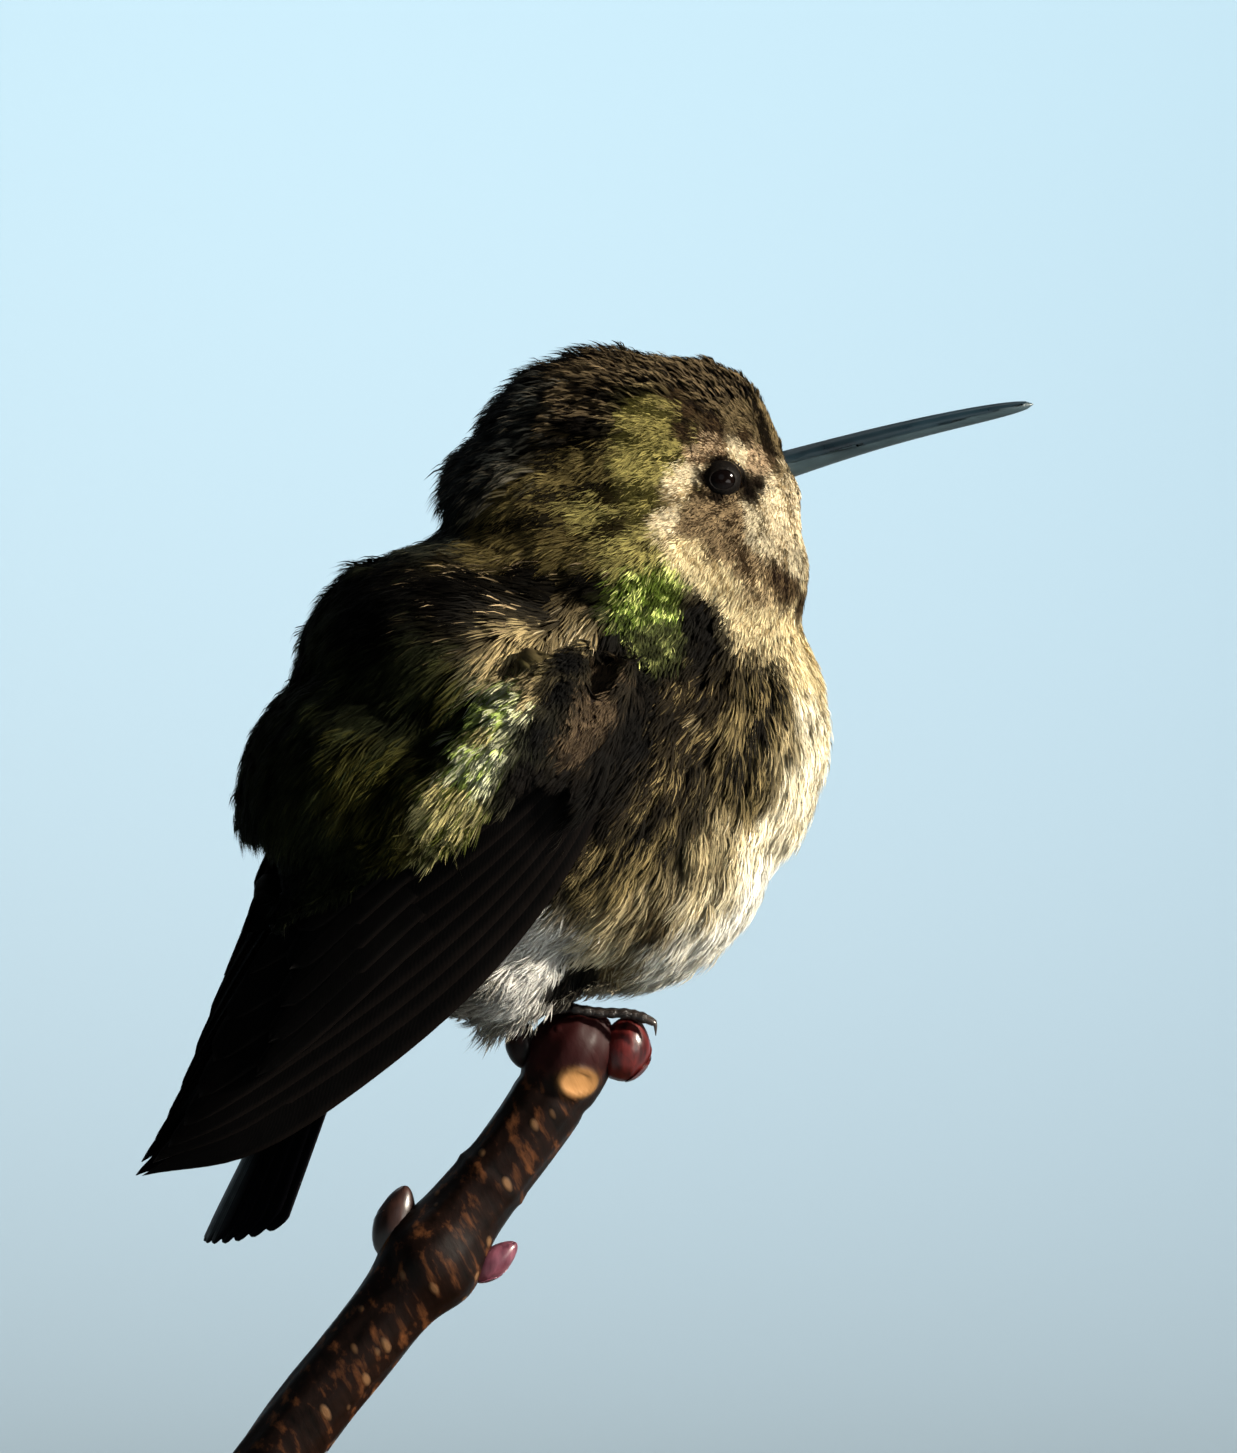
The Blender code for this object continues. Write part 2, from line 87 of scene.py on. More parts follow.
def through(points, t):  # smooth curve through rows of points, t an array 0 to 1
    points = np.asarray(points, float)
    t = np.clip(np.asarray(t, float), 0, 1)
    spans = len(points) - 1
    i = np.minimum((t * spans).astype(int), spans - 1)
    f = (t * spans - i)[..., None]
    padded = np.vstack([2 * points[0] - points[1], points, 2 * points[-1] - points[-2]])
    p0, p1, p2, p3 = padded[i], padded[i + 1], padded[i + 2], padded[i + 3]
    return 0.5 * (
        2 * p1 + (p2 - p0) * f + (2 * p0 - 5 * p1 + 4 * p2 - p3) * f**2 + (3 * p1 - p0 - 3 * p2 + p3) * f**3
    )


def deselectAll():
    if bpy.context.object and bpy.context.object.mode != "OBJECT":
        bpy.ops.object.mode_set(mode="OBJECT")
    bpy.ops.object.select_all(action="DESELECT")


def selectOnly(obj):
    deselectAll()
    obj.select_set(True)
    bpy.context.view_layer.objects.active = obj
    return obj


def applyModifiers(obj):
    selectOnly(obj)
    for m in list(obj.modifiers):
        bpy.ops.object.modifier_apply(modifier=m.name)


def applyPlace(obj):
    selectOnly(obj)
    bpy.ops.object.transform_apply(location=True, rotation=True, scale=True)


def joinAll(objects, name):
    deselectAll()
    for o in objects:
        o.select_set(True)
    bpy.context.view_layer.objects.active = objects[0]
    if len(objects) > 1:
        bpy.ops.object.join()
    made = bpy.context.object
    made.name = name
    made.data.name = name
    return made


def editMesh(obj, selectAll=True):
    selectOnly(obj)
    bpy.ops.object.mode_set(mode="EDIT")
    bpy.ops.mesh.select_mode(type="VERT")
    bpy.ops.mesh.select_all(action="SELECT" if selectAll else "DESELECT")


def leaveEdit():
    bpy.ops.object.mode_set(mode="OBJECT")


def tidyNormals(obj, mergeBelow=0.0):
    editMesh(obj)
    if mergeBelow:
        bpy.ops.mesh.remove_doubles(threshold=mergeBelow)
    bpy.ops.mesh.normals_make_consistent(inside=False)
    leaveEdit()


def nodeCopy(name):  # a merged, free copy of a CAD node
    source = frame["nodes"][name]
    made = bpy.data.objects.new("copy_" + name, source.data.copy())
    bpy.context.scene.collection.objects.link(made)
    made.data.materials.clear()
    tidyNormals(made, 1e-6)
    return made


def keepSide(obj, point, normal):  # keeps what lies ahead of a plane, point in mm
    editMesh(obj)
    bpy.ops.mesh.bisect(plane_co=Vector(point * mm), plane_no=Vector(normal), use_fill=True, clear_inner=True)
    leaveEdit()


def coordinates(mesh):
    co = np.empty(len(mesh.vertices) * 3, np.float32)
    mesh.vertices.foreach_get("co", co)
    return co.reshape(-1, 3).astype(float) / mm


def setCoordinates(mesh, points):
    mesh.vertices.foreach_set("co", (points * mm).astype(np.float32).ravel())
    mesh.update()


def vertexNormals(mesh):
    n = np.empty(len(mesh.vertices) * 3, np.float32)
    mesh.vertex_normals.foreach_get("vector", n)
    return n.reshape(-1, 3).astype(float)


def meshFrom(name, points, faces, smooth=True):  # points in mm, faces as rows of equal length
    faces = [np.asarray(f, np.int32) for f in faces if len(f)]
    mesh = bpy.data.meshes.new(name)
    mesh.vertices.add(len(points))
    mesh.vertices.foreach_set("co", (points * mm).astype(np.float32).ravel())
    counts = np.concatenate([np.full(len(f), f.shape[1], np.int32) for f in faces])
    loops = np.concatenate([f.ravel() for f in faces])
    mesh.loops.add(len(loops))
    mesh.loops.foreach_set("vertex_index", loops)
    mesh.polygons.add(len(counts))
    mesh.polygons.foreach_set("loop_start", np.concatenate([[0], np.cumsum(counts)[:-1]]).astype(np.int32))
    mesh.update(calc_edges=True)
    mesh.polygons.foreach_set("use_smooth", np.full(len(counts), smooth))
    made = bpy.data.objects.new(name, mesh)
    bpy.context.scene.collection.objects.link(made)
    return made, loops


def setUv(obj, name, perLoop):
    layer = obj.data.uv_layers.get(name) or obj.data.uv_layers.new(name=name)
    layer.data.foreach_set("uv", np.asarray(perLoop, np.float32).ravel())


def setTint(obj, colours, gloss):  # point attributes that the plumage material reads
    tint = obj.data.attributes.new("tint", "FLOAT_COLOR", "POINT")
    tint.data.foreach_set(
        "color", np.column_stack([colours, np.ones(len(colours))]).astype(np.float32).ravel()
    )
    shine = obj.data.attributes.new("gloss", "FLOAT", "POINT")
    shine.data.foreach_set("value", np.asarray(gloss, np.float32))


def finishPiece(obj, material, replaced=(), smoothAngle=None):
    if material is not None:
        obj.data.materials.clear()
        obj.data.materials.append(material)
    if smoothAngle is not None:
        selectOnly(obj)
        bpy.ops.object.shade_smooth_by_angle(angle=math.radians(smoothAngle))
    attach(obj, "root")
    if replaced:
        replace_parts(obj, *replaced)
    return obj


def feed(tree, node, values):  # sets inputs to values, or links them to sockets
    for key, value in values.items():
        if isinstance(value, bpy.types.NodeSocket):
            tree.links.new(value, node.inputs[key])
        else:
            node.inputs[key].default_value = value
    return node


def addNode(tree, kind, values=None, **settings):
    node = tree.nodes.new(kind)
    for key, value in settings.items():
        setattr(node, key, value)
    return feed(tree, node, values or {})


def mathNode(tree, operation, a, b=0.5, c=0.5):
    return addNode(tree, "ShaderNodeMath", {0: a, 1: b, 2: c}, operation=operation).outputs[0]


def plus(tree, a, b, share):  # a and a share of b
    return mathNode(tree, "ADD", a, mathNode(tree, "MULTIPLY", b, share))


def remap(tree, value, fromLow, fromHigh, toLow=0.0, toHigh=1.0):
    ends = {1: fromLow, 2: fromHigh, 3: toLow, 4: toHigh}
    return addNode(tree, "ShaderNodeMapRange", {0: value, **ends}).outputs[0]


def noise(tree, place, scale, detail=2.0, roughness=0.5):
    values = {"Vector": place, "Scale": scale, "Detail": detail, "Roughness": roughness}
    return addNode(tree, "ShaderNodeTexNoise", values).outputs[0]


def objectPlace(tree):
    return addNode(tree, "ShaderNodeTexCoord").outputs["Object"]


def stretched(tree, place, scale):
    return addNode(tree, "ShaderNodeMapping", {"Vector": place, "Scale": scale}).outputs[0]


def rampNode(tree, factor, stops):
    ramp = addNode(tree, "ShaderNodeValToRGB", {0: factor})
    while len(ramp.color_ramp.elements) < len(stops):
        ramp.color_ramp.elements.new(0.5)
    for element, (place, colour) in zip(ramp.color_ramp.elements, stops):
        element.position = place
        element.color = (*colour, 1) if len(colour) == 3 else colour
    return ramp.outputs[0]


def mixColour(tree, factor, a, b, blend="MIX"):
    node = addNode(tree, "ShaderNodeMix", data_type="RGBA", blend_type=blend)
    for socket, value in ((node.inputs[0], factor), (node.inputs[6], a), (node.inputs[7], b)):
        if isinstance(value, bpy.types.NodeSocket):
            tree.links.new(value, socket)
        else:
            socket.default_value = value if not isinstance(value, tuple) or len(value) != 3 else (*value, 1)
    return node.outputs[2]


def groupWith(name, inputs, outputs):
    group = bpy.data.node_groups.new(name, "ShaderNodeTree")
    kinds = {"f": "NodeSocketFloat", "c": "NodeSocketColor", "v": "NodeSocketVector"}
    for label, kind, value in inputs:
        socket = group.interface.new_socket(label, in_out="INPUT", socket_type=kinds[kind])
        if value is not None:
            socket.default_value = value
    for label, kind in outputs:
        group.interface.new_socket(label, in_out="OUTPUT", socket_type=kinds[kind])
    return group, group.nodes.new("NodeGroupInput"), group.nodes.new("NodeGroupOutput")


def makeMottleGroup():  # broad and fine colour variation, with a height for bump
    inputs = (
        ("Colour", "c", None), ("Vector", "v", None), ("Broad scale", "f", 200.0),
        ("Fine scale", "f", 1500.0), ("Amount", "f", 0.3),
    )
    group, source, out = groupWith("mottle", inputs, (("Colour", "c"), ("Height", "f")))
    given = source.outputs
    broad = noise(group, given["Vector"], given["Broad scale"], 3.0)
    fine = noise(group, given["Vector"], given["Fine scale"], 4.0, 0.65)
    both = plus(group, mathNode(group, "MULTIPLY", broad, 0.6), fine, 0.4)
    factor = mathNode(group, "MULTIPLY_ADD", remap(group, both, 0.3, 0.7, -1.0, 1.0), given["Amount"], 1.0)
    colour = addNode(group, "ShaderNodeVectorMath", {0: given["Colour"], "Scale": factor}, operation="SCALE")
    feed(group, out, {"Colour": colour.outputs[0], "Height": both})
    return group


def makeBarbGroup():  # fine barbs slanting away from a central shaft, along a feather's own map
    inputs = (("Vector", "v", None), ("Count", "f", 60.0), ("Slant", "f", 1.2), ("Shaft width", "f", 0.05))
    group, source, out = groupWith("barbs", inputs, (("Lines", "f"), ("Shaft", "f")))
    given = source.outputs
    parts = addNode(group, "ShaderNodeSeparateXYZ", {0: given["Vector"]})
    offset = mathNode(group, "ABSOLUTE", mathNode(group, "SUBTRACT", parts.outputs[0], 0.5))
    bent = mathNode(group, "MULTIPLY", offset, given["Slant"])
    slanted = mathNode(group, "SUBTRACT", parts.outputs[1], bent)
    wobble = noise(group, given["Vector"], 6.0)
    phase = plus(group, mathNode(group, "MULTIPLY", slanted, given["Count"]), wobble, 2.5)
    wave = mathNode(group, "SINE", mathNode(group, "MULTIPLY", phase, 6.2832))
    shaft = addNode(
        group, "ShaderNodeMapRange", {0: offset, 1: given["Shaft width"], 2: 0.0, 3: 0.0, 4: 1.0},
        interpolation_type="SMOOTHSTEP"
    )
    feed(group, out, {"Lines": remap(group, wave, -1.0, 1.0), "Shaft": shaft.outputs[0]})
    return group


mottleGroup = makeMottleGroup()
barbGroup = makeBarbGroup()


def newMaterial(name, shaderValues):
    material = bpy.data.materials.new(name)
    material.use_nodes = True
    tree = material.node_tree
    shader = tree.nodes["Principled BSDF"]
    for key, value in shaderValues.items():
        shader.inputs[key].default_value = value
    return material, tree, shader


def mottled(tree, colour, place, broad, fine, amount):  # the mottled colour, and its height
    values = {"Colour": colour, "Vector": place, "Broad scale": broad, "Fine scale": fine, "Amount": amount}
    made = addNode(tree, "ShaderNodeGroup", values, node_tree=mottleGroup).outputs
    return made["Colour"], made["Height"]


def barbLines(tree, count, slant, shaftWidth):  # the feather's own map, its barbs and its shaft
    lie = addNode(tree, "ShaderNodeUVMap", uv_map="barbs").outputs[0]
    values = {"Vector": lie, "Count": count, "Slant": slant, "Shaft width": shaftWidth}
    made = addNode(tree, "ShaderNodeGroup", values, node_tree=barbGroup).outputs
    return lie, made["Lines"], made["Shaft"]


def bumpInto(tree, shader, height, strength, distance):
    bump = addNode(tree, "ShaderNodeBump", {"Strength": strength, "Distance": distance, "Height": height})
    feed(tree, shader, {"Normal": bump.outputs[0]})


def plumageMaterial(name, bump, specular, sheen, barbed=True):
    material, tree, shader = newMaterial(
        name, {"IOR": 1.45, "Specular IOR Level": specular, "Sheen Weight": sheen, "Sheen Roughness": 0.5}
    )
    tint = addNode(tree, "ShaderNodeAttribute", attribute_name="tint").outputs["Color"]
    gloss = addNode(tree, "ShaderNodeAttribute", attribute_name="gloss").outputs["Fac"]
    colour, height = mottled(tree, tint, objectPlace(tree), 420.0, 2600.0, 0.32)
    if barbed:
        lines = barbLines(tree, 9.0, 1.0, 0.07)[1]
        dark = mixColour(tree, 1.0, colour, (0.72, 0.72, 0.72), "MULTIPLY")
        colour = mixColour(tree, lines, dark, colour)
        height = plus(tree, height, lines, 0.7)
    metal = mathNode(tree, "MULTIPLY", gloss, 0.75)
    rough = mathNode(tree, "MULTIPLY_ADD", gloss, -0.32, 0.68)
    feed(tree, shader, {"Base Color": colour, "Metallic": metal, "Roughness": rough})
    bumpInto(tree, shader, height, bump, 0.0001)
    return material


def bladeMaterial(name, dark, pale, edge):  # stiff wing and tail feathers
    material, tree, shader = newMaterial(
        name, {"IOR": 1.5, "Specular IOR Level": 0.03, "Sheen Weight": 0.0, "Sheen Roughness": 0.4}
    )
    lie, lines, shaft = barbLines(tree, 130.0, 0.16, 0.045)
    across = addNode(tree, "ShaderNodeSeparateXYZ", {0: lie}).outputs[0]
    rim = remap(tree, mathNode(tree, "ABSOLUTE", mathNode(tree, "SUBTRACT", across, 0.5)), 0.4, 0.5)
    base = mixColour(tree, mathNode(tree, "MULTIPLY", lines, 0.5), dark, pale)
    base = mixColour(tree, mathNode(tree, "MULTIPLY", rim, 0.55), base, edge)
    tone, height = mottled(tree, base, objectPlace(tree), 160.0, 1300.0, 0.3)
    tone = mixColour(tree, mathNode(tree, "MULTIPLY", shaft, 0.7), tone, dark)
    feed(tree, shader, {"Base Color": tone, "Roughness": remap(tree, height, 0.3, 0.7, 0.42, 0.6)})
    bumpInto(tree, shader, plus(tree, lines, shaft, 3.0), 0.2, 0.00004)
    return material


def hornMaterial(name, dark, pale, roughness, coat, stretch=(1, 1, 1)):  # bill, claws
    material, tree, shader = newMaterial(
        name, {"IOR": 1.54, "Specular IOR Level": 0.5, "Coat Weight": coat, "Coat Roughness": 0.25}
    )
    place = objectPlace(tree)
    turn = (0, math.radians(14), -turnAngle)
    along = addNode(tree, "ShaderNodeMapping", {"Vector": place, "Rotation": turn, "Scale": stretch})
    grain = noise(tree, along.outputs[0], 900.0, 5.0, 0.6)
    both = plus(tree, mathNode(tree, "MULTIPLY", grain, 0.5), noise(tree, place, 180.0), 0.5)
    tone = rampNode(tree, both, ((0.3, dark), (0.72, pale)))
    rough = remap(tree, grain, 0.3, 0.7, roughness - 0.06, roughness + 0.1)
    feed(tree, shader, {"Base Color": tone, "Roughness": rough})
    bumpInto(tree, shader, grain, 0.25, 0.00005)
    return material


# the folded right wing: x, y and z in mm along its two edges, from the wrist to the tip
wingSettings = dict(
    leading=(
        (1.2, -13.0, 73.0), (-1.6, -15.6, 66.5), (-4.9, -15.2, 58.5), (-11.0, -12.0, 49.6),
        (-19.0, -8.3, 42.0), (-26.6, -4.8, 36.7), (-33.8, -1.0, 35.2)
    ),
    trailing=(
        (-4.6, -11.4, 76.0), (-9.8, -12.5, 71.0), (-16.5, -9.8, 64.5), (-22.4, -4.0, 56.6),
        (-26.9, -1.5, 48.6), (-30.7, -0.9, 41.4), (-34.0, -0.8, 35.7)
    ),
    camber=1.9,
    primaryCount=10,
    secondaryCount=6,
    bladeThickness=0.11,
)


def wingPoints(s, w, lift):  # right wing's surface at s along and w across, lifted outwards
    front, rear = through(wingSettings["leading"], s), through(wingSettings["trailing"], s)
    chord = rear - front
    further = through(wingSettings["leading"], np.minimum(s + 0.02, 1))
    ahead = further - through(wingSettings["leading"], np.minimum(s, 0.98))
    outward = unit(np.cross(chord, ahead))
    outward = np.where(outward[..., 1:2] > 0, -outward, outward)
    bulge = wingSettings["camber"] * np.sin(np.pi * np.clip(w, 0, 1)) * np.sqrt(np.maximum(1 - s, 0))
    bulge = bulge * np.minimum(0.3 + 3 * np.maximum(s, 0), 1)
    return front + chord * w[..., None] + outward * (bulge + lift)[..., None]


def scapularEdge(s):  # where the back's feathers end on the blade, as a share of its width
    return 0.3 + 0.6 * np.clip((s - 0.02) / 0.56, 0, 1) ** 1.5


wingS, wingW = (g.ravel() for g in np.meshgrid(np.linspace(0, 1, 80), np.linspace(0, 1, 24), indexing="ij"))
wingSpots = wingPoints(wingS, wingW, 0.9)


def nearestTree(spots):
    tree = KDTree(len(spots))
    for i, spot in enumerate(spots):
        tree.insert(spot, i)
    tree.balance()
    return tree


def nearestOf(tree, points):  # index and distance of the nearest stored spot
    found = [tree.find(p)[1:] for p in points]
    return np.array([f[0] for f in found], int), np.array([f[1] for f in found])


wingTree = nearestTree(wingSpots)
wingOut = unit(wingPoints(wingS, wingW, 1.9) - wingSpots)


def sideFlip(points):
    return np.where(points[:, 1:2] > 0, [1, -1, 1], [1, 1, 1])


def foldSide(points):  # both sides of the body read as the right one
    return points * sideFlip(points)


# nearest s and w on the wing of the same side, height over it and distance beyond its rim
def wingPlace(points):
    folded = foldSide(points)
    best, gap = nearestOf(wingTree, folded)
    height = ((folded - wingSpots[best]) * wingOut[best]).sum(1)
    return wingS[best], wingW[best], height, np.sqrt(np.maximum(gap**2 - height**2, 0))


def smoothRise(x, low, high):
    t = np.clip((x - low) / (high - low), 0, 1)
    return t * t * (3 - 2 * t)


def openWing(points):  # 1 on the part of the wing that the back's feathers leave open, 0 elsewhere
    s, w, height, aside = wingPlace(points)
    share = smoothRise(scapularEdge(s) - w, 0.0, 0.06) * smoothRise(height, -2.2, -1.5)
    share = share * smoothRise(w, 0.0, 0.05) * (aside < 1.4)
    under = (height < -1.3) & (aside < 0.8) & (w > 0.03) & (w < 0.97) & (s > 0.2)
    return s, w, share * (s > 0.02), under


# each look of the coat: root, tip and streak colours, share of streaked locks, contrast of the long runs,
# gloss, kind of tuft and width of a lock in mm
# root colours are darker than the tips: partly the feathers' own darker bases, partly painted shade in the
# gaps between tufts
plumageLooks = {
    "crown": dict(
        root=(16, 13, 9), tip=(92, 79, 58), streak=(13, 10, 7), share=0.5, runs=0.6, gloss=0.1,
        kind="spike", width=0.13
    ),
    "crownDark": dict(
        root=(8, 8, 6), tip=(40, 43, 42), streak=(80, 76, 66), share=0.14, runs=0.7, gloss=0.1,
        kind="spike", width=0.14
    ),
    "forehead": dict(
        root=(34, 28, 18), tip=(120, 104, 74), streak=(24, 19, 12), share=0.5, runs=0.7, gloss=0.08,
        kind="fine", width=0.08
    ),
    # painted shade: the dark crease above the eye, where the crown's feathers shade the brow
    "browCreasePaintedShade": dict(
        root=(22, 16, 10), tip=(62, 48, 31), streak=(26, 19, 12), share=0.5, runs=0.5, gloss=0.0,
        kind="fine", width=0.1
    ),
    "browPale": dict(
        root=(96, 78, 58), tip=(188, 164, 132), streak=(90, 70, 50), share=0.3, runs=0.3, gloss=0.0,
        kind="fine", width=0.09
    ),
    "greenGold": dict(
        root=(68, 62, 30), tip=(156, 146, 86), streak=(62, 60, 26), share=0.42, runs=0.5, gloss=0.12,
        kind="fine", width=0.085
    ),
    "neckOlive": dict(
        root=(50, 44, 22), tip=(150, 141, 84), streak=(36, 31, 16), share=0.45, runs=0.7, gloss=0.12,
        kind="soft", width=0.085
    ),
    "neckShade": dict(
        root=(30, 26, 13), tip=(102, 90, 54), streak=(24, 21, 11), share=0.45, runs=0.9, gloss=0.12,
        kind="soft", width=0.085
    ),
    "napeDark": dict(
        root=(8, 8, 6), tip=(34, 39, 35), streak=(70, 70, 56), share=0.12, runs=0.8, gloss=0.12,
        kind="soft", width=0.09
    ),
    "cream": dict(
        root=(172, 154, 118), tip=(232, 218, 186), streak=(150, 128, 92), share=0.2, runs=0.2, gloss=0.0,
        kind="fine", width=0.09
    ),
    "creamGrey": dict(
        root=(124, 112, 86), tip=(212, 200, 170), streak=(120, 104, 76), share=0.25, runs=0.45, gloss=0.0,
        kind="fine", width=0.09
    ),
    "ear": dict(
        root=(58, 46, 32), tip=(142, 122, 92), streak=(54, 42, 27), share=0.45, runs=0.3, gloss=0.0,
        kind="fine", width=0.08
    ),
    "lore": dict(
        root=(10, 7, 4), tip=(26, 18, 11), streak=(10, 7, 5), share=0.4, runs=0.2, gloss=0.0, kind="fine",
        width=0.08
    ),
    "gorget": dict(
        root=(38, 29, 19), tip=(98, 80, 56), streak=(36, 26, 20), share=0.4, runs=0.4, gloss=0.1,
        kind="fine", width=0.1
    ),
    "throat": dict(
        root=(112, 92, 64), tip=(200, 178, 138), streak=(84, 66, 44), share=0.35, runs=0.3, gloss=0.0,
        kind="fine", width=0.1
    ),
    "creamBand": dict(
        root=(172, 152, 110), tip=(240, 224, 180), streak=(168, 146, 104), share=0.25, runs=0.25, gloss=0.0,
        kind="fine", width=0.1
    ),
    # painted highlight: the pale streak colour of the green scales stands for bright glints on the green
    # feathers
    "scaleGreen": dict(
        root=(6, 10, 3), tip=(98, 118, 44), streak=(196, 206, 120), share=0.2, runs=0.9, gloss=0.25,
        kind="gleam", width=0.1
    ),
    "scaleShade": dict(
        root=(6, 7, 3), tip=(72, 78, 42), streak=(130, 134, 80), share=0.12, runs=0.9, gloss=0.2,
        kind="gleam", width=0.1
    ),
    # painted shade: near black where the crease between neck and back and the gap behind the wrist lie in
    # shade
    "blackPaintedShade": dict(
        root=(1, 1, 1), tip=(5, 5, 4), streak=(26, 24, 18), share=0.04, runs=0.6, gloss=0.05, kind="soft",
        width=0.09
    ),
    # painted shade: the crease between neck and back near black, with a few pale streaks
    "foldPaintedShade": dict(
        root=(2, 2, 1), tip=(10, 8, 5), streak=(158, 138, 106), share=0.03, runs=1.5, gloss=0.05,
        kind="plume", width=0.1
    ),
    "foldPale": dict(
        root=(30, 24, 15), tip=(136, 120, 86), streak=(206, 190, 152), share=0.2, runs=1.2, gloss=0.05,
        kind="plume", width=0.1
    ),
    "backDark": dict(
        root=(5, 6, 3), tip=(34, 38, 22), streak=(48, 50, 26), share=0.12, runs=0.7, gloss=0.2,
        kind="plume", width=0.11
    ),
    "backOlive": dict(
        root=(14, 14, 6), tip=(62, 60, 26), streak=(24, 30, 12), share=0.3, runs=0.8, gloss=0.22,
        kind="plume", width=0.11
    ),
    # the back's pale feather edges, brightened as painted light on the rim that faces the light
    "fringeAndPaintedLight": dict(
        root=(96, 88, 46), tip=(230, 216, 150), streak=(104, 112, 50), share=0.3, runs=0.7, gloss=0.2,
        kind="plume", width=0.1
    ),
    "beigeFringeAndPaintedLight": dict(
        root=(90, 78, 52), tip=(190, 170, 124), streak=(88, 78, 50), share=0.3, runs=0.7, gloss=0.05,
        kind="plume", width=0.1
    ),
    "glint": dict(
        root=(206, 216, 134), tip=(255, 255, 220), streak=(170, 196, 96), share=0.35, runs=0.5, gloss=0.0,
        kind="plume", width=0.11
    ),
    "wristBrown": dict(
        root=(30, 22, 15), tip=(102, 85, 64), streak=(52, 40, 29), share=0.2, runs=0.35, gloss=0.05,
        kind="soft", width=0.08
    ),
    "covert": dict(
        root=(4, 3, 2), tip=(13, 9, 6), streak=(6, 4, 3), share=0.3, runs=0.4, gloss=0.05, kind="plume",
        width=0.09
    ),
    # painted shade: near black in the gaps between the wing, the flank and the green patch, and under the
    # belly in front of the toes
    "gapPaintedShade": dict(
        root=(2, 2, 1), tip=(11, 8, 5), streak=(30, 24, 16), share=0.05, runs=1.2, gloss=0.0, kind="plume",
        width=0.1
    ),
    "flankOlive": dict(
        root=(26, 22, 12), tip=(120, 105, 70), streak=(20, 16, 9), share=0.42, runs=1.3, gloss=0.05,
        kind="plume", width=0.1
    ),
    "flankDark": dict(
        root=(7, 5, 2), tip=(38, 31, 18), streak=(112, 98, 66), share=0.14, runs=1.4, gloss=0.05,
        kind="plume", width=0.1
    ),
    "flankBuff": dict(
        root=(92, 80, 55), tip=(180, 164, 126), streak=(80, 66, 42), share=0.3, runs=0.7, gloss=0.0,
        kind="plume", width=0.1
    ),
    "breastCream": dict(
        root=(206, 192, 156), tip=(248, 240, 216), streak=(218, 202, 164), share=0.14, runs=0.25, gloss=0.0,
        kind="plume", width=0.09
    ),
    "bellyBuff": dict(
        root=(184, 168, 130), tip=(244, 232, 198), streak=(132, 114, 76), share=0.25, runs=0.55, gloss=0.0,
        kind="plume", width=0.09
    ),
    "bellyWhite": dict(
        root=(236, 230, 212), tip=(255, 253, 244), streak=(238, 228, 202), share=0.12, runs=0.15, gloss=0.0,
        kind="plume", width=0.09
    ),
    "ventWhite": dict(
        root=(226, 221, 211), tip=(255, 253, 248), streak=(206, 198, 182), share=0.1, runs=0.12, gloss=0.0,
        kind="fluff", width=0.08
    ),
    # painted shade: the white vent greyed at its rear, where the wing shades it
    "ventPaintedShade": dict(
        root=(104, 99, 90), tip=(150, 145, 133), streak=(120, 115, 105), share=0.15, runs=0.2, gloss=0.0,
        kind="fluff", width=0.08
    ),
    "rumpDark": dict(
        root=(5, 6, 4), tip=(22, 25, 18), streak=(44, 46, 30), share=0.1, runs=0.4, gloss=0.2, kind="plume",
        width=0.11
    ),
}

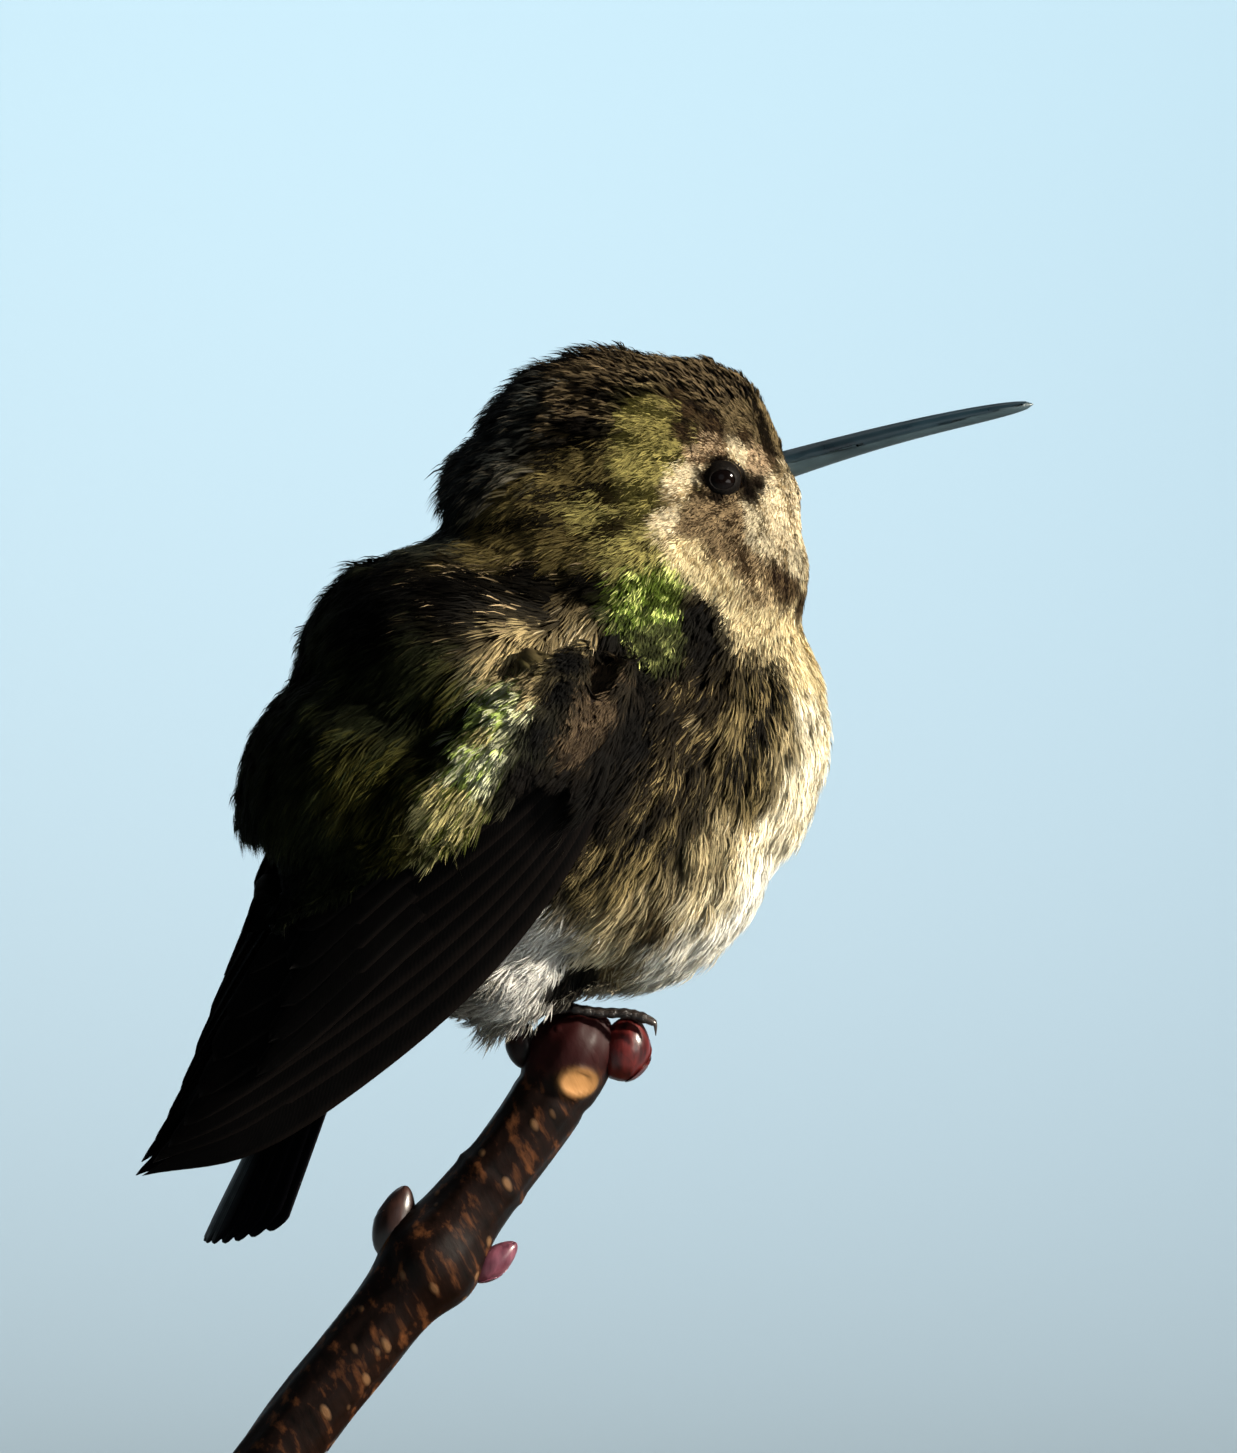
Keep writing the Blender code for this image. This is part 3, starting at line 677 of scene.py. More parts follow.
# each tract: place along and up, how far it reaches, lie of the feathers in degrees, length and depth
# of a tuft, and look; all in mm
headTracts = {
    "foreheadFront": (16.0, 90.9, 1.0, 128, 0.9, 0.4, "forehead"),
    "foreheadTop": (13.0, 93.9, 1.5, 150, 1.3, 0.42, "crown"),
    "foreheadSide": (13.8, 91.9, 1.0, 158, 1.1, 0.45, "forehead"),
    "crownFront": (8.4, 95.6, 1.7, 166, 2.0, 0.65, "crown"),
    "crownMid": (4.0, 95.6, 2.2, 176, 2.8, 1.3, "crown"),
    "crownBack": (-2.3, 93.2, 2.4, 196, 3.2, 1.5, "crownDark"),
    "crownSide": (2.2, 92.4, 1.8, 188, 2.0, 0.8, "crown"),
    "nape": (-6.0, 88.4, 2.4, 218, 3.2, 1.4, "crownDark"),
    "napeLow": (-8.0, 84.6, 2.2, 222, 2.6, 0.9, "napeDark"),
    # the brow crease tracts carry painted shade, not a mark of the plumage
    "browCrease": (9.4, 93.4, 0.4, 158, 1.5, 0.6, "browCreasePaintedShade"),
    "browCreaseMid": (10.5, 92.0, 0.5, 158, 1.3, 0.5, "browCreasePaintedShade"),
    "browCreaseLow": (12.0, 90.8, 0.55, 160, 1.0, 0.45, "browCreasePaintedShade"),
    "browCreaseRear": (9.7, 90.6, 0.5, 175, 1.0, 0.45, "browCreasePaintedShade"),
    "browCreaseFront": (14.2, 90.2, 0.4, 160, 0.8, 0.4, "browCreasePaintedShade"),
    "greenGold": (7.0, 91.4, 1.4, 192, 1.4, 0.6, "greenGold"),
    "greenGoldLow": (6.6, 88.6, 1.4, 200, 1.3, 0.6, "greenGold"),
    "greenGoldEye": (8.4, 89.6, 0.8, 194, 0.9, 0.45, "greenGold"),
    "greenGoldNeck": (6.6, 85.6, 1.2, 208, 1.4, 0.6, "greenGold"),
    "browPaleRear": (10.5, 88.9, 0.42, 180, 0.6, 0.35, "browPale"),
    "browPale": (11.8, 89.5, 0.5, 172, 0.6, 0.35, "browPale"),
    "browCream": (13.5, 89.0, 0.5, 168, 0.55, 0.3, "cream"),
    "browPaleFront": (15.2, 88.4, 0.5, 165, 0.5, 0.3, "browPale"),
    "eyeRim": (12.1, 88.4, 0.42, 172, 0.4, 0.25, "lore"),
    "eyeRimRear": (10.8, 87.3, 0.34, 185, 0.4, 0.25, "lore"),
    "eyeRimLow": (11.9, 85.8, 0.42, 205, 0.45, 0.25, "lore"),
    "lore": (14.1, 86.8, 0.55, 184, 0.5, 0.3, "lore"),
    "loreLow": (14.5, 86.1, 0.42, 190, 0.5, 0.3, "lore"),
    "loreFront": (15.3, 86.75, 0.45, 180, 0.45, 0.3, "lore"),
    "eyeRear": (9.9, 87.6, 0.5, 190, 0.7, 0.35, "cream"),
    "eyeRearLow": (9.0, 86.4, 0.55, 200, 0.8, 0.35, "cream"),
    "ear": (11.4, 84.6, 0.9, 208, 0.7, 0.4, "ear"),
    "earMid": (12.6, 83.0, 1.0, 216, 0.8, 0.4, "ear"),
    "earLow": (14.0, 81.4, 0.8, 226, 0.8, 0.4, "ear"),
    "earRear": (10.0, 83.8, 0.8, 212, 0.8, 0.4, "ear"),
    "earFront": (13.1, 84.3, 0.65, 208, 0.7, 0.4, "ear"),
    "cheekGrey": (14.8, 84.4, 0.5, 212, 0.7, 0.35, "creamGrey"),
    "cheekGreyLow": (15.0, 82.8, 0.6, 222, 0.7, 0.35, "creamGrey"),
    "cheek": (16.3, 85.6, 0.7, 220, 0.7, 0.35, "cream"),
    "cheekLow": (17.0, 83.4, 0.8, 232, 0.8, 0.35, "cream"),
    "chin": (17.6, 86.4, 0.5, 235, 0.6, 0.35, "cream"),
    "throat": (17.8, 81.6, 0.6, 246, 0.8, 0.4, "creamGrey"),
    "gorget": (17.4, 79.3, 0.6, 246, 1.0, 0.45, "gorget"),
    "gorgetRear": (16.5, 80.0, 0.5, 240, 0.9, 0.45, "gorget"),
    "gorgetTip": (18.4, 78.2, 0.5, 250, 1.0, 0.45, "gorget"),
    "gorgetLow": (15.2, 78.6, 0.7, 244, 1.0, 0.45, "throat"),
    "neckSideHigh": (2.4, 88.4, 1.8, 204, 1.8, 0.75, "neckShade"),
    "neckSideMid": (3.6, 84.8, 1.6, 208, 1.7, 0.7, "neckOlive"),
    "neckSideLow": (0.6, 82.4, 1.9, 202, 2.2, 0.8, "neckShade"),
    "neckRear": (-3.6, 84.0, 2.0, 208, 2.6, 1.0, "neckShade"),
    "neckFront": (5.6, 82.4, 1.2, 216, 1.6, 0.65, "neckOlive"),
    "creamBandTop": (8.4, 84.4, 0.7, 210, 0.9, 0.45, "cream"),
    "creamBandHigh": (10.0, 82.0, 0.7, 222, 1.0, 0.5, "creamBand"),
    "creamBandMid": (12.2, 79.8, 0.8, 232, 1.2, 0.5, "creamBand"),
    "creamBandLow": (14.8, 77.2, 0.9, 242, 1.4, 0.6, "creamBand"),
    "creamBandFront": (17.6, 75.8, 1.0, 252, 1.6, 0.7, "creamBand"),
}
bodyTracts = {
    "scaledShoulder": (6.6, 78.4, 1.5, 236, 1.05, 0.6, "scaleGreen"),
    "scaledShoulderLow": (7.4, 75.2, 1.2, 240, 1.1, 0.6, "scaleShade"),
    "scaledShade": (10.9, 77.8, 0.95, 238, 1.8, 0.8, "gapPaintedShade"),
    "scaledShadeLow": (11.4, 75.3, 0.9, 240, 2.0, 0.9, "gapPaintedShade"),
    "foldHigh": (-12.5, 78.0, 2.6, 198, 3.6, 1.2, "blackPaintedShade"),
    "foldMid": (-5.6, 78.9, 2.4, 188, 3.8, 1.3, "foldPaintedShade"),
    "foldFront": (-0.4, 79.4, 1.7, 186, 3.6, 1.2, "foldPaintedShade"),
    "foldShade": (-1.6, 81.0, 1.0, 190, 2.8, 1.1, "foldPaintedShade"),
    "foldEnd": (3.0, 79.2, 1.1, 206, 2.4, 1.1, "foldPaintedShade"),
    "foldTips": (1.5, 78.4, 0.9, 250, 2.6, 0.9, "foldPale"),
    "foldTipsRear": (0.2, 75.6, 0.6, 244, 2.4, 0.9, "foldPale"),
    "foldTipsLow": (2.2, 76.3, 0.7, 250, 2.6, 0.8, "foldPale"),
    "backUpper": (-17.6, 75.0, 2.6, 216, 3.2, 1.2, "backDark"),
    "backMid": (-11.0, 72.6, 2.8, 224, 3.8, 1.4, "backDark"),
    "backOuter": (-20.5, 69.0, 2.8, 234, 3.2, 1.0, "backDark"),
    "backInner": (-8.0, 72.0, 1.6, 228, 3.4, 1.4, "backOlive"),
    # fringe tracts: real pale feather edges, brightened with painted light along the back's rim
    "fringeTop": (-2.0, 75.6, 0.7, 236, 2.2, 1.0, "beigeFringeAndPaintedLight"),
    "fringeHigh": (-1.9, 72.2, 0.9, 238, 2.4, 1.1, "beigeFringeAndPaintedLight"),
    "fringeMid": (-2.6, 74.2, 1.3, 238, 2.6, 1.2, "beigeFringeAndPaintedLight"),
    "glintHigh": (-4.3, 70.9, 1.2, 238, 1.8, 1.2, "glint"),
    "fringeBetween": (-5.2, 69.0, 0.6, 238, 2.4, 1.2, "fringeAndPaintedLight"),
    "glintLow": (-5.4, 66.9, 0.9, 236, 2.0, 1.2, "glint"),
    "fringeLow": (-8.2, 63.6, 1.2, 234, 2.8, 1.2, "fringeAndPaintedLight"),
    "fringeEnd": (-12.4, 60.2, 1.1, 232, 3.0, 1.2, "backOlive"),
    "backLower": (-13.0, 65.0, 2.4, 232, 3.6, 1.4, "backOlive"),
    "backLowOuter": (-19.6, 63.2, 2.6, 240, 3.6, 1.4, "backDark"),
    "rump": (-20.6, 57.6, 2.4, 250, 2.2, 0.6, "rumpDark"),
    "rumpInner": (-16.0, 58.4, 1.8, 242, 2.6, 0.9, "backDark"),
    "wristTop": (4.0, 75.2, 0.9, 250, 1.8, 0.6, "gapPaintedShade"),
    "wrist": (3.7, 72.6, 1.05, 246, 1.9, 0.5, "wristBrown"),
    "wristLow": (2.9, 70.0, 0.95, 244, 1.9, 0.5, "wristBrown"),
    "wristEnd": (1.8, 67.6, 0.75, 242, 1.9, 0.5, "wristBrown"),
    # painted shade in the gap between the back's fringe and the wrist
    "wristRearHigh": (0.9, 73.8, 0.7, 240, 2.0, 0.6, "blackPaintedShade"),
    "wristRear": (0.2, 71.6, 0.8, 240, 2.0, 0.6, "blackPaintedShade"),
    "wristRearMid": (-1.0, 69.0, 0.85, 238, 2.0, 0.6, "blackPaintedShade"),
    "covertRear": (-2.2, 65.4, 1.1, 236, 1.9, 0.5, "covert"),
    "covertFront": (1.2, 64.4, 0.9, 238, 1.9, 0.5, "covert"),
    "gapPaintedShade": (7.4, 72.0, 1.5, 228, 2.8, 1.3, "gapPaintedShade"),
    "gapPaintedShadeLow": (6.2, 68.6, 1.6, 222, 3.2, 1.4, "gapPaintedShade"),
    "darkGapHigh": (9.4, 73.0, 1.0, 246, 2.6, 1.2, "flankDark"),
    "flankHigh": (12.0, 72.6, 1.3, 226, 3.2, 1.4, "flankDark"),
    "flankMidHigh": (10.0, 69.4, 1.8, 218, 3.6, 1.6, "flankDark"),
    "flankWisp": (11.2, 69.9, 0.4, 208, 3.4, 1.5, "flankBuff"),
    "flankWispLow": (8.8, 66.6, 0.35, 216, 3.4, 1.5, "flankOlive"),
    "flankRear": (4.0, 64.6, 2.4, 222, 3.6, 1.6, "gapPaintedShade"),
    "flankRearLow": (1.8, 60.0, 1.6, 236, 3.4, 1.5, "flankDark"),
    "flankMid": (8.8, 65.4, 1.8, 226, 4.0, 1.7, "flankDark"),
    "flankMidLow": (8.0, 61.2, 1.7, 236, 4.0, 1.7, "flankOlive"),
    "flankLow": (4.8, 58.6, 1.8, 240, 4.2, 1.7, "flankOlive"),
    "flankFront": (15.6, 71.6, 1.5, 256, 3.4, 1.5, "flankOlive"),
    "flankFrontMid": (15.0, 66.0, 1.5, 256, 3.8, 1.6, "flankOlive"),
    "flankEdge": (17.2, 69.2, 0.8, 262, 3.4, 1.4, "flankBuff"),
    "flankFrontLow": (12.0, 60.2, 1.4, 250, 4.0, 1.6, "flankBuff"),
    "breastHigh": (18.6, 74.2, 1.2, 260, 2.2, 1.0, "creamBand"),
    "breast": (19.0, 70.8, 1.2, 266, 3.0, 1.3, "breastCream"),
    "breastMid": (18.9, 66.4, 1.4, 264, 3.4, 1.4, "breastCream"),
    "breastLow": (17.8, 61.8, 1.8, 260, 3.6, 1.5, "breastCream"),
    "bellyFront": (16.2, 58.0, 1.7, 254, 3.8, 1.5, "bellyWhite"),
    "bellyMid": (7.4, 55.4, 1.6, 248, 4.0, 1.7, "flankBuff"),
    "bellyLow": (12.8, 53.8, 1.8, 250, 4.0, 1.5, "bellyWhite"),
    "bellyBuffFront": (12.4, 57.2, 1.2, 252, 4.0, 1.6, "bellyBuff"),
    "bellyUnder": (10.0, 52.2, 1.8, 250, 3.6, 1.4, "bellyWhite"),
    "bellyEdge": (5.6, 51.2, 1.6, 256, 4.4, 1.4, "bellyBuff"),
    "feetSkirt": (4.8, 50.6, 1.1, 262, 3.2, 1.2, "flankBuff"),
    "ankleShade": (2.4, 50.0, 1.0, 262, 3.0, 1.0, "gapPaintedShade"),
    "ankleShadeRear": (0.6, 49.4, 0.8, 258, 2.6, 0.9, "gapPaintedShade"),
    "vent": (-2.2, 52.4, 1.9, 236, 3.8, 1.6, "ventWhite"),
    "ventLow": (-1.6, 49.8, 1.2, 236, 2.0, 0.9, "ventWhite"),
    # painted shade on the vent's rear
    "ventRear": (-6.0, 50.6, 1.7, 222, 2.4, 1.0, "ventPaintedShade"),
}


class Tracts:  # blends the tracts' values at any points of the skin
    def __init__(self, tree):
        rows = []
        for table, isHead in ((headTracts, True), (bodyTracts, False)):
            for along, up, reach, lie, length, depth, look in table.values():
                start = turned(along, -60, up)
                hit = tree.ray_cast(Vector(start * mm), Vector(sideAxis))[0]
                if hit is None:
                    hit = tree.find_nearest(Vector(turned(along, -4, up) * mm))[0]
                spot = np.array(hit) / mm
                angle = math.radians(lie)
                way = alongAxis * math.cos(angle) + upAxis * math.sin(angle)
                rows.append((spot, way, reach, length, depth, look))
                if isHead:
                    over = spot - 2 * sideAxis * (spot @ sideAxis)
                    rows.append((over, way, reach, length, depth, look))
                else:
                    flip = np.array([1, -1, 1])
                    rows.append((spot * flip, way * flip, reach, length, depth, look))
        spots, ways, reaches, lengths, depths, looks = zip(*rows)
        self.spots, self.ways, self.reach = np.array(spots), np.array(ways), np.array(reaches)
        self.length, self.depth = np.array(lengths), np.array(depths)
        self.looks = [plumageLooks[look] for look in looks]

    def weights(self, points):
        gaps = ((points[:, None, :] - self.spots[None]) ** 2).sum(2) / self.reach**2
        w = (gaps + 0.12) ** -2.6
        return w / w.sum(1, keepdims=True)

    def blend(self, w, values):
        return w @ np.asarray(values, float)


skinSettings = dict(inflate=0.6, voxel=0.45, smoothing=8, islandMargin=0.003, padEnd=-21.5)

fleshNodes = ["head", "neck", "trunk", "vent"] + [
    f"wing_{side}_{layer}" for side in ("left", "right") for layer in ("shoulder", "scapulars")
]

# dents and swellings of the skin: place along and up, radius and height in mm
skinForms = {
    "eyeHollow": (12.2, 87.0, 2.1, -0.45),
    "browRidge": (11.6, 90.2, 1.6, 0.25),
    "loreGroove": (15.0, 87.3, 1.2, -0.3),
    "jaw": (13.6, 83.6, 2.0, 0.2),
    "wingGap": (7.4, 71.6, 1.8, -0.8),
    "foldGroove": (1.2, 80.6, 2.2, -0.6),
    "foldGrooveRear": (-7.0, 80.6, 2.4, -0.5),
}


def makeSkinForm():  # the outer form of the whole coat, one closed shell
    copies = [nodeCopy(n) for n in fleshNodes]
    for side in ("left", "right"):
        copies.append(nodeCopy("eye_" + side))
        wrist = nodeCopy(f"wing_{side}_primaries")  # only the blade's root, under the coverts
        flip = np.array([1, 1 if side == "right" else -1, 1])
        keepSide(
            wrist, through(wingSettings["leading"], np.array([0.22]))[0] * flip,
            np.array([0.38, -0.05, 0.92]) * flip
        )
        copies.append(wrist)
    tailRoot = nodeCopy("tail")
    keepSide(tailRoot, upAxis * 46, upAxis)
    copies.append(tailRoot)
    for half in ("upper", "lower"):
        billRoot = nodeCopy("bill_" + half)
        keepSide(billRoot, turned(16.9, 0, 0), -alongAxis)
        copies.append(billRoot)
    form = joinAll(copies, "skin")
    swell = form.modifiers.new("swell", "DISPLACE")
    swell.strength = skinSettings["inflate"] * mm
    swell.mid_level = 0
    fuse = form.modifiers.new("fuse", "REMESH")
    fuse.mode = "VOXEL"
    fuse.voxel_size = skinSettings["voxel"] * mm
    applyModifiers(form)
    points = coordinates(form.data)
    top = int(points[:, 2].argmax())
    editMesh(form, selectAll=False)
    bm = bmesh.from_edit_mesh(form.data)
    bm.verts.ensure_lookup_table()
    bm.verts[top].select = True
    bm.select_flush(True)
    bpy.ops.mesh.select_linked()
    bpy.ops.mesh.select_all(action="INVERT")
    bpy.ops.mesh.delete(type="VERT")
    leaveEdit()
    smooth = form.modifiers.new("smooth", "SMOOTH")
    smooth.factor = 0.5
    smooth.iterations = skinSettings["smoothing"]
    applyModifiers(form)
    points = coordinates(form.data)
    # the thin ends of the wing pads are drawn in
    beyond = np.minimum(points @ alongAxis - skinSettings["padEnd"], 0)
    beyond = beyond * (1 - smoothRise(points[:, 2], 58, 62))
    setCoordinates(form.data, points - alongAxis * (0.85 * beyond)[:, None])
    return form


def faceArrays(mesh):
    mesh.calc_loop_triangles()
    tris = np.empty(len(mesh.loop_triangles) * 3, np.int32)
    mesh.loop_triangles.foreach_get("vertices", tris)
    loops = np.empty(len(mesh.loop_triangles) * 3, np.int32)
    mesh.loop_triangles.foreach_get("loops", loops)
    return tris.reshape(-1, 3), loops.reshape(-1, 3)


print("skin form")
skin = makeSkinForm()
outerPoints = coordinates(skin.data) - vertexNormals(skin.data) * skinSettings["inflate"]
outerNormals = vertexNormals(skin.data)
outerTree = BVHTree.FromPolygons(
    [Vector(p * mm) for p in outerPoints], [tuple(p.vertices) for p in skin.data.polygons]
)
tracts = Tracts(outerTree)
skinWeights = tracts.weights(outerPoints)
skinDepth = tracts.blend(skinWeights, tracts.depth)
skinS, _, skinOpen, _ = openWing(outerPoints)
skinDepth = skinDepth * (1 - skinOpen) + skinOpen * (0.45 + 1.6 * smoothRise(skinS, 0.17, 0.26))
skinThickness = np.full(len(outerPoints), 30.0)
for i, (p, n) in enumerate(zip(outerPoints, outerNormals)):
    hit = outerTree.ray_cast(Vector((p - n * 0.02) * mm), Vector(-n), 0.008)
    if hit[0] is not None:
        skinThickness[i] = hit[3] / mm
skinDepth = np.minimum(skinDepth, skinThickness * 0.4)
formPush = np.zeros(len(outerPoints))
for along, up, radius, height in skinForms.values():
    hit = outerTree.ray_cast(Vector(turned(along, -60, up) * mm), Vector(sideAxis))[0]
    spot = np.array(hit) / mm
    mirrors = [spot, spot - 2 * sideAxis * (spot @ sideAxis) if up > 80 else spot * np.array([1, -1, 1])]
    for centre in mirrors:
        formPush += height * np.exp(-0.5 * ((outerPoints - centre) ** 2).sum(1) / (radius * 0.6) ** 2)
outerPoints = outerPoints + outerNormals * formPush[:, None]
innerPoints = outerPoints - outerNormals * skinDepth[:, None]
atS, atW, atHeight, atAside = wingPlace(innerPoints)  # under the open blades the skin keeps clear of them
covered = (atS > 0.2) & (atW > 0.015) & (atW < scapularEdge(atS) - 0.02)
covered &= (atAside < 0.8) & (np.abs(atHeight) < 2.6)
sink = np.where(covered, np.maximum(atHeight + 2.0, 0), 0)[:, None]
nearSpot = nearestOf(wingTree, foldSide(innerPoints))[0]
innerPoints = innerPoints - wingOut[nearSpot] * sideFlip(innerPoints) * sink
setCoordinates(skin.data, innerPoints)
settle = skin.modifiers.new("settle", "SMOOTH")
settle.factor = 0.5
settle.iterations = 2
applyModifiers(skin)
innerPoints = coordinates(skin.data)
print("skin", len(innerPoints), "points")

editMesh(skin)
skin.data.uv_layers.new(name="OFBake")
bpy.ops.uv.smart_project(angle_limit=math.radians(70), island_margin=skinSettings["islandMargin"])
leaveEdit()
skinTris, skinLoops = faceArrays(skin.data)
skinUv = np.empty(len(skin.data.loops) * 2, np.float32)
skin.data.uv_layers["OFBake"].data.foreach_get("uv", skinUv)
skinUv = skinUv.reshape(-1, 2) * np.array([0.9, 1.0])  # the strip beyond 0.9 is kept for feet and lids
setUv(skin, "OFBake", skinUv)
print("skin map done")

lookColours = {part: np.array([paint(*k[part]) for k in tracts.looks]) for part in ("root", "tip", "streak")}
lookValues = {part: np.array([k[part] for k in tracts.looks]) for part in ("share", "runs", "gloss", "width")}
lookKind = np.array([k["kind"] for k in tracts.looks])
# the skin under the coat takes the blended root colours, a little darker: painted shade in the gaps between
# tufts
skinColours = tracts.blend(skinWeights, lookColours["root"]) * 0.9
setTint(skin, skinColours, tracts.blend(skinWeights, lookValues["gloss"]) * 0.3)
skinMaterial = plumageMaterial("downySkin", bump=0.5, specular=0.06, sheen=0.01, barbed=False)
finishPiece(skin, skinMaterial, fleshNodes)
skin.data.polygons.foreach_set("use_smooth", np.full(len(skin.data.polygons), True))


# each kind of tuft: locks and their steps, their fan, how high tips stand as a share of the depth, mm between
# tufts, trim of the side locks, how far tips gather, spread of the roots, size of the feather that tufts form
# together, spread of tone by tuft (speckle) and by feather (clump), painted shade across each feather (edge:
# darker at its sides, lighter towards its tip), bend to the body, and whether tones lie in rows
tuftKinds = {
    "fine": dict(
        locks=5, steps=2, fan=0.34, rise=(0.5, 0.95), spacing=0.185, trim=0.85, gather=0.1, spread=1.4,
        feather=0.55, speckle=0.2, clump=0.06, edge=0.3, bend=1.0, rows=False
    ),
    "soft": dict(
        locks=6, steps=3, fan=0.24, rise=(0.5, 1.0), spacing=0.32, trim=0.75, gather=0.25, spread=1.7,
        feather=1.0, speckle=0.16, clump=0.07, edge=0.3, bend=1.0, rows=False
    ),
    "gleam": dict(
        locks=6, steps=3, fan=0.3, rise=(0.5, 1.0), spacing=0.3, trim=0.8, gather=0.1, spread=1.9,
        feather=0, speckle=0.26, clump=0, edge=0, bend=1.0, rows=True
    ),
    "spike": dict(
        locks=8, steps=3, fan=0.1, rise=(0.85, 1.6), spacing=0.42, trim=0.5, gather=0.88, spread=1.4,
        feather=0.9, speckle=0.2, clump=0.1, edge=0.4, bend=0.2, rows=False
    ),
    "plume": dict(
        locks=8, steps=3, fan=0.15, rise=(0.55, 1.1), spacing=0.47, trim=0.75, gather=0.3, spread=2.3,
        feather=1.9, speckle=0.1, clump=0.1, edge=0.6, bend=1.0, rows=False
    ),
    "fluff": dict(
        locks=10, steps=3, fan=0.5, rise=(0.4, 1.1), spacing=0.46, trim=0.7, gather=0.0, spread=2.0,
        feather=2.2, speckle=0.1, clump=0.1, edge=0.6, bend=1.0, rows=False
    ),
}
runSettings = dict(
    fanCentre=(16.8, 73.5), headCentre=(18.5, 88.2), backLie=math.radians(232), foldLie=math.radians(191)
)
patchSize = 0.003  # a tuft's share of the shared map

eyeCentres = [np.array(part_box(name)[0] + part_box(name)[1]) / 2 / mm for name in ("eye_right", "eye_left")]
eyeAxes = [unit(turned(0.12, side, 0.02)) for side in (-1, 1)]


def scatterRoots(spacing, allowed):  # seeded points on the skin, one to a cell, as triangle and corner shares
    corners = outerPoints[skinTris]
    areas = 0.5 * np.linalg.norm(
        np.cross(corners[:, 1] - corners[:, 0], corners[:, 2] - corners[:, 0]), axis=1
    )
    count = int(areas.sum() / spacing**2 * 5)
    tri = dice.choice(len(areas), count, p=areas / areas.sum())
    a, b = dice.random(count), dice.random(count)
    fold = a + b > 1
    a[fold], b[fold] = 1 - a[fold], 1 - b[fold]
    share = np.column_stack([1 - a - b, a, b])
    spot = (outerPoints[skinTris[tri]] * share[:, :, None]).sum(1)
    cells = np.floor(spot / spacing + 1000).astype(np.int64)
    code = (cells[:, 0] * 4000 + cells[:, 1]) * 4000 + cells[:, 2]
    first = np.unique(code, return_index=True)[1]
    tri, share, spot = tri[first], share[first], spot[first]
    keep = allowed(spot)
    return tri[keep], share[keep], spot[keep]


noiseTable = dice.random((64, 64)) * 2 - 1


def latticeNoise(x, y):  # smooth noise from -1 to 1
    i, j = np.floor(x).astype(int), np.floor(y).astype(int)
    fx, fy = smoothRise(x - i, 0, 1), smoothRise(y - j, 0, 1)
    corner = [[noiseTable[(i + a) % 64, (j + b) % 64] for b in (0, 1)] for a in (0, 1)]
    near = corner[0][0] * (1 - fx) + corner[1][0] * fx
    far = corner[0][1] * (1 - fx) + corner[1][1] * fx
    return near * (1 - fy) + far * fy


def featherRuns(points):  # long light and dark runs that follow the lie of the feathers, -1 to 1
    r = runSettings
    folded = foldSide(points)
    along, up = folded @ alongAxis, folded[:, 2]

    def fan(ahead, centre, coarse, fine):
        angle = np.arctan2(up - centre[1], ahead - centre[0])
        reach = np.hypot(up - centre[1], ahead - centre[0])
        broad = 0.6 * latticeNoise(angle * coarse + 40, reach * 0.13)
        return broad + 0.5 * latticeNoise(angle * fine + 11, reach * 0.3 + 5)

    def lines(lie, coarse, fine):
        beside = -along * math.sin(lie) + up * math.cos(lie)
        down = along * math.cos(lie) + up * math.sin(lie)
        broad = 0.6 * latticeNoise(beside * coarse + 17, down * 0.12)
        return broad + 0.5 * latticeNoise(beside * fine, down * 0.28 + 3)

    flank = fan(along, r["fanCentre"], 13, 34)
    back = lines(r["backLie"], 0.9, 2.3)
    fold = lines(r["foldLie"], 1.5, 3.4)
    ahead, beside = points @ alongAxis, points @ sideAxis
    crown = 0.6 * latticeNoise(beside * 0.9 + 33, ahead * 0.13)
    crown += 0.5 * latticeNoise(beside * 2.2 + 7, ahead * 0.3)
    shareCrown = 1 - smoothRise(np.abs(beside), 4.0, 7.0)
    head = fan(ahead, r["headCentre"], 12, 28) * (1 - shareCrown) + crown * shareCrown
    shareBack = 1 - smoothRise(along, -3, 3)
    shareFold = smoothRise(up, 75.5, 77.0) * (1 - smoothRise(up, 81.5, 83.5)) * (1 - smoothRise(along, 2, 5))
    shareHead = smoothRise(up, 81.5, 83.5)
    body = flank * (1 - shareBack) + back * shareBack
    return (body * (1 - shareFold) + fold * shareFold) * (1 - shareHead) + head * shareHead


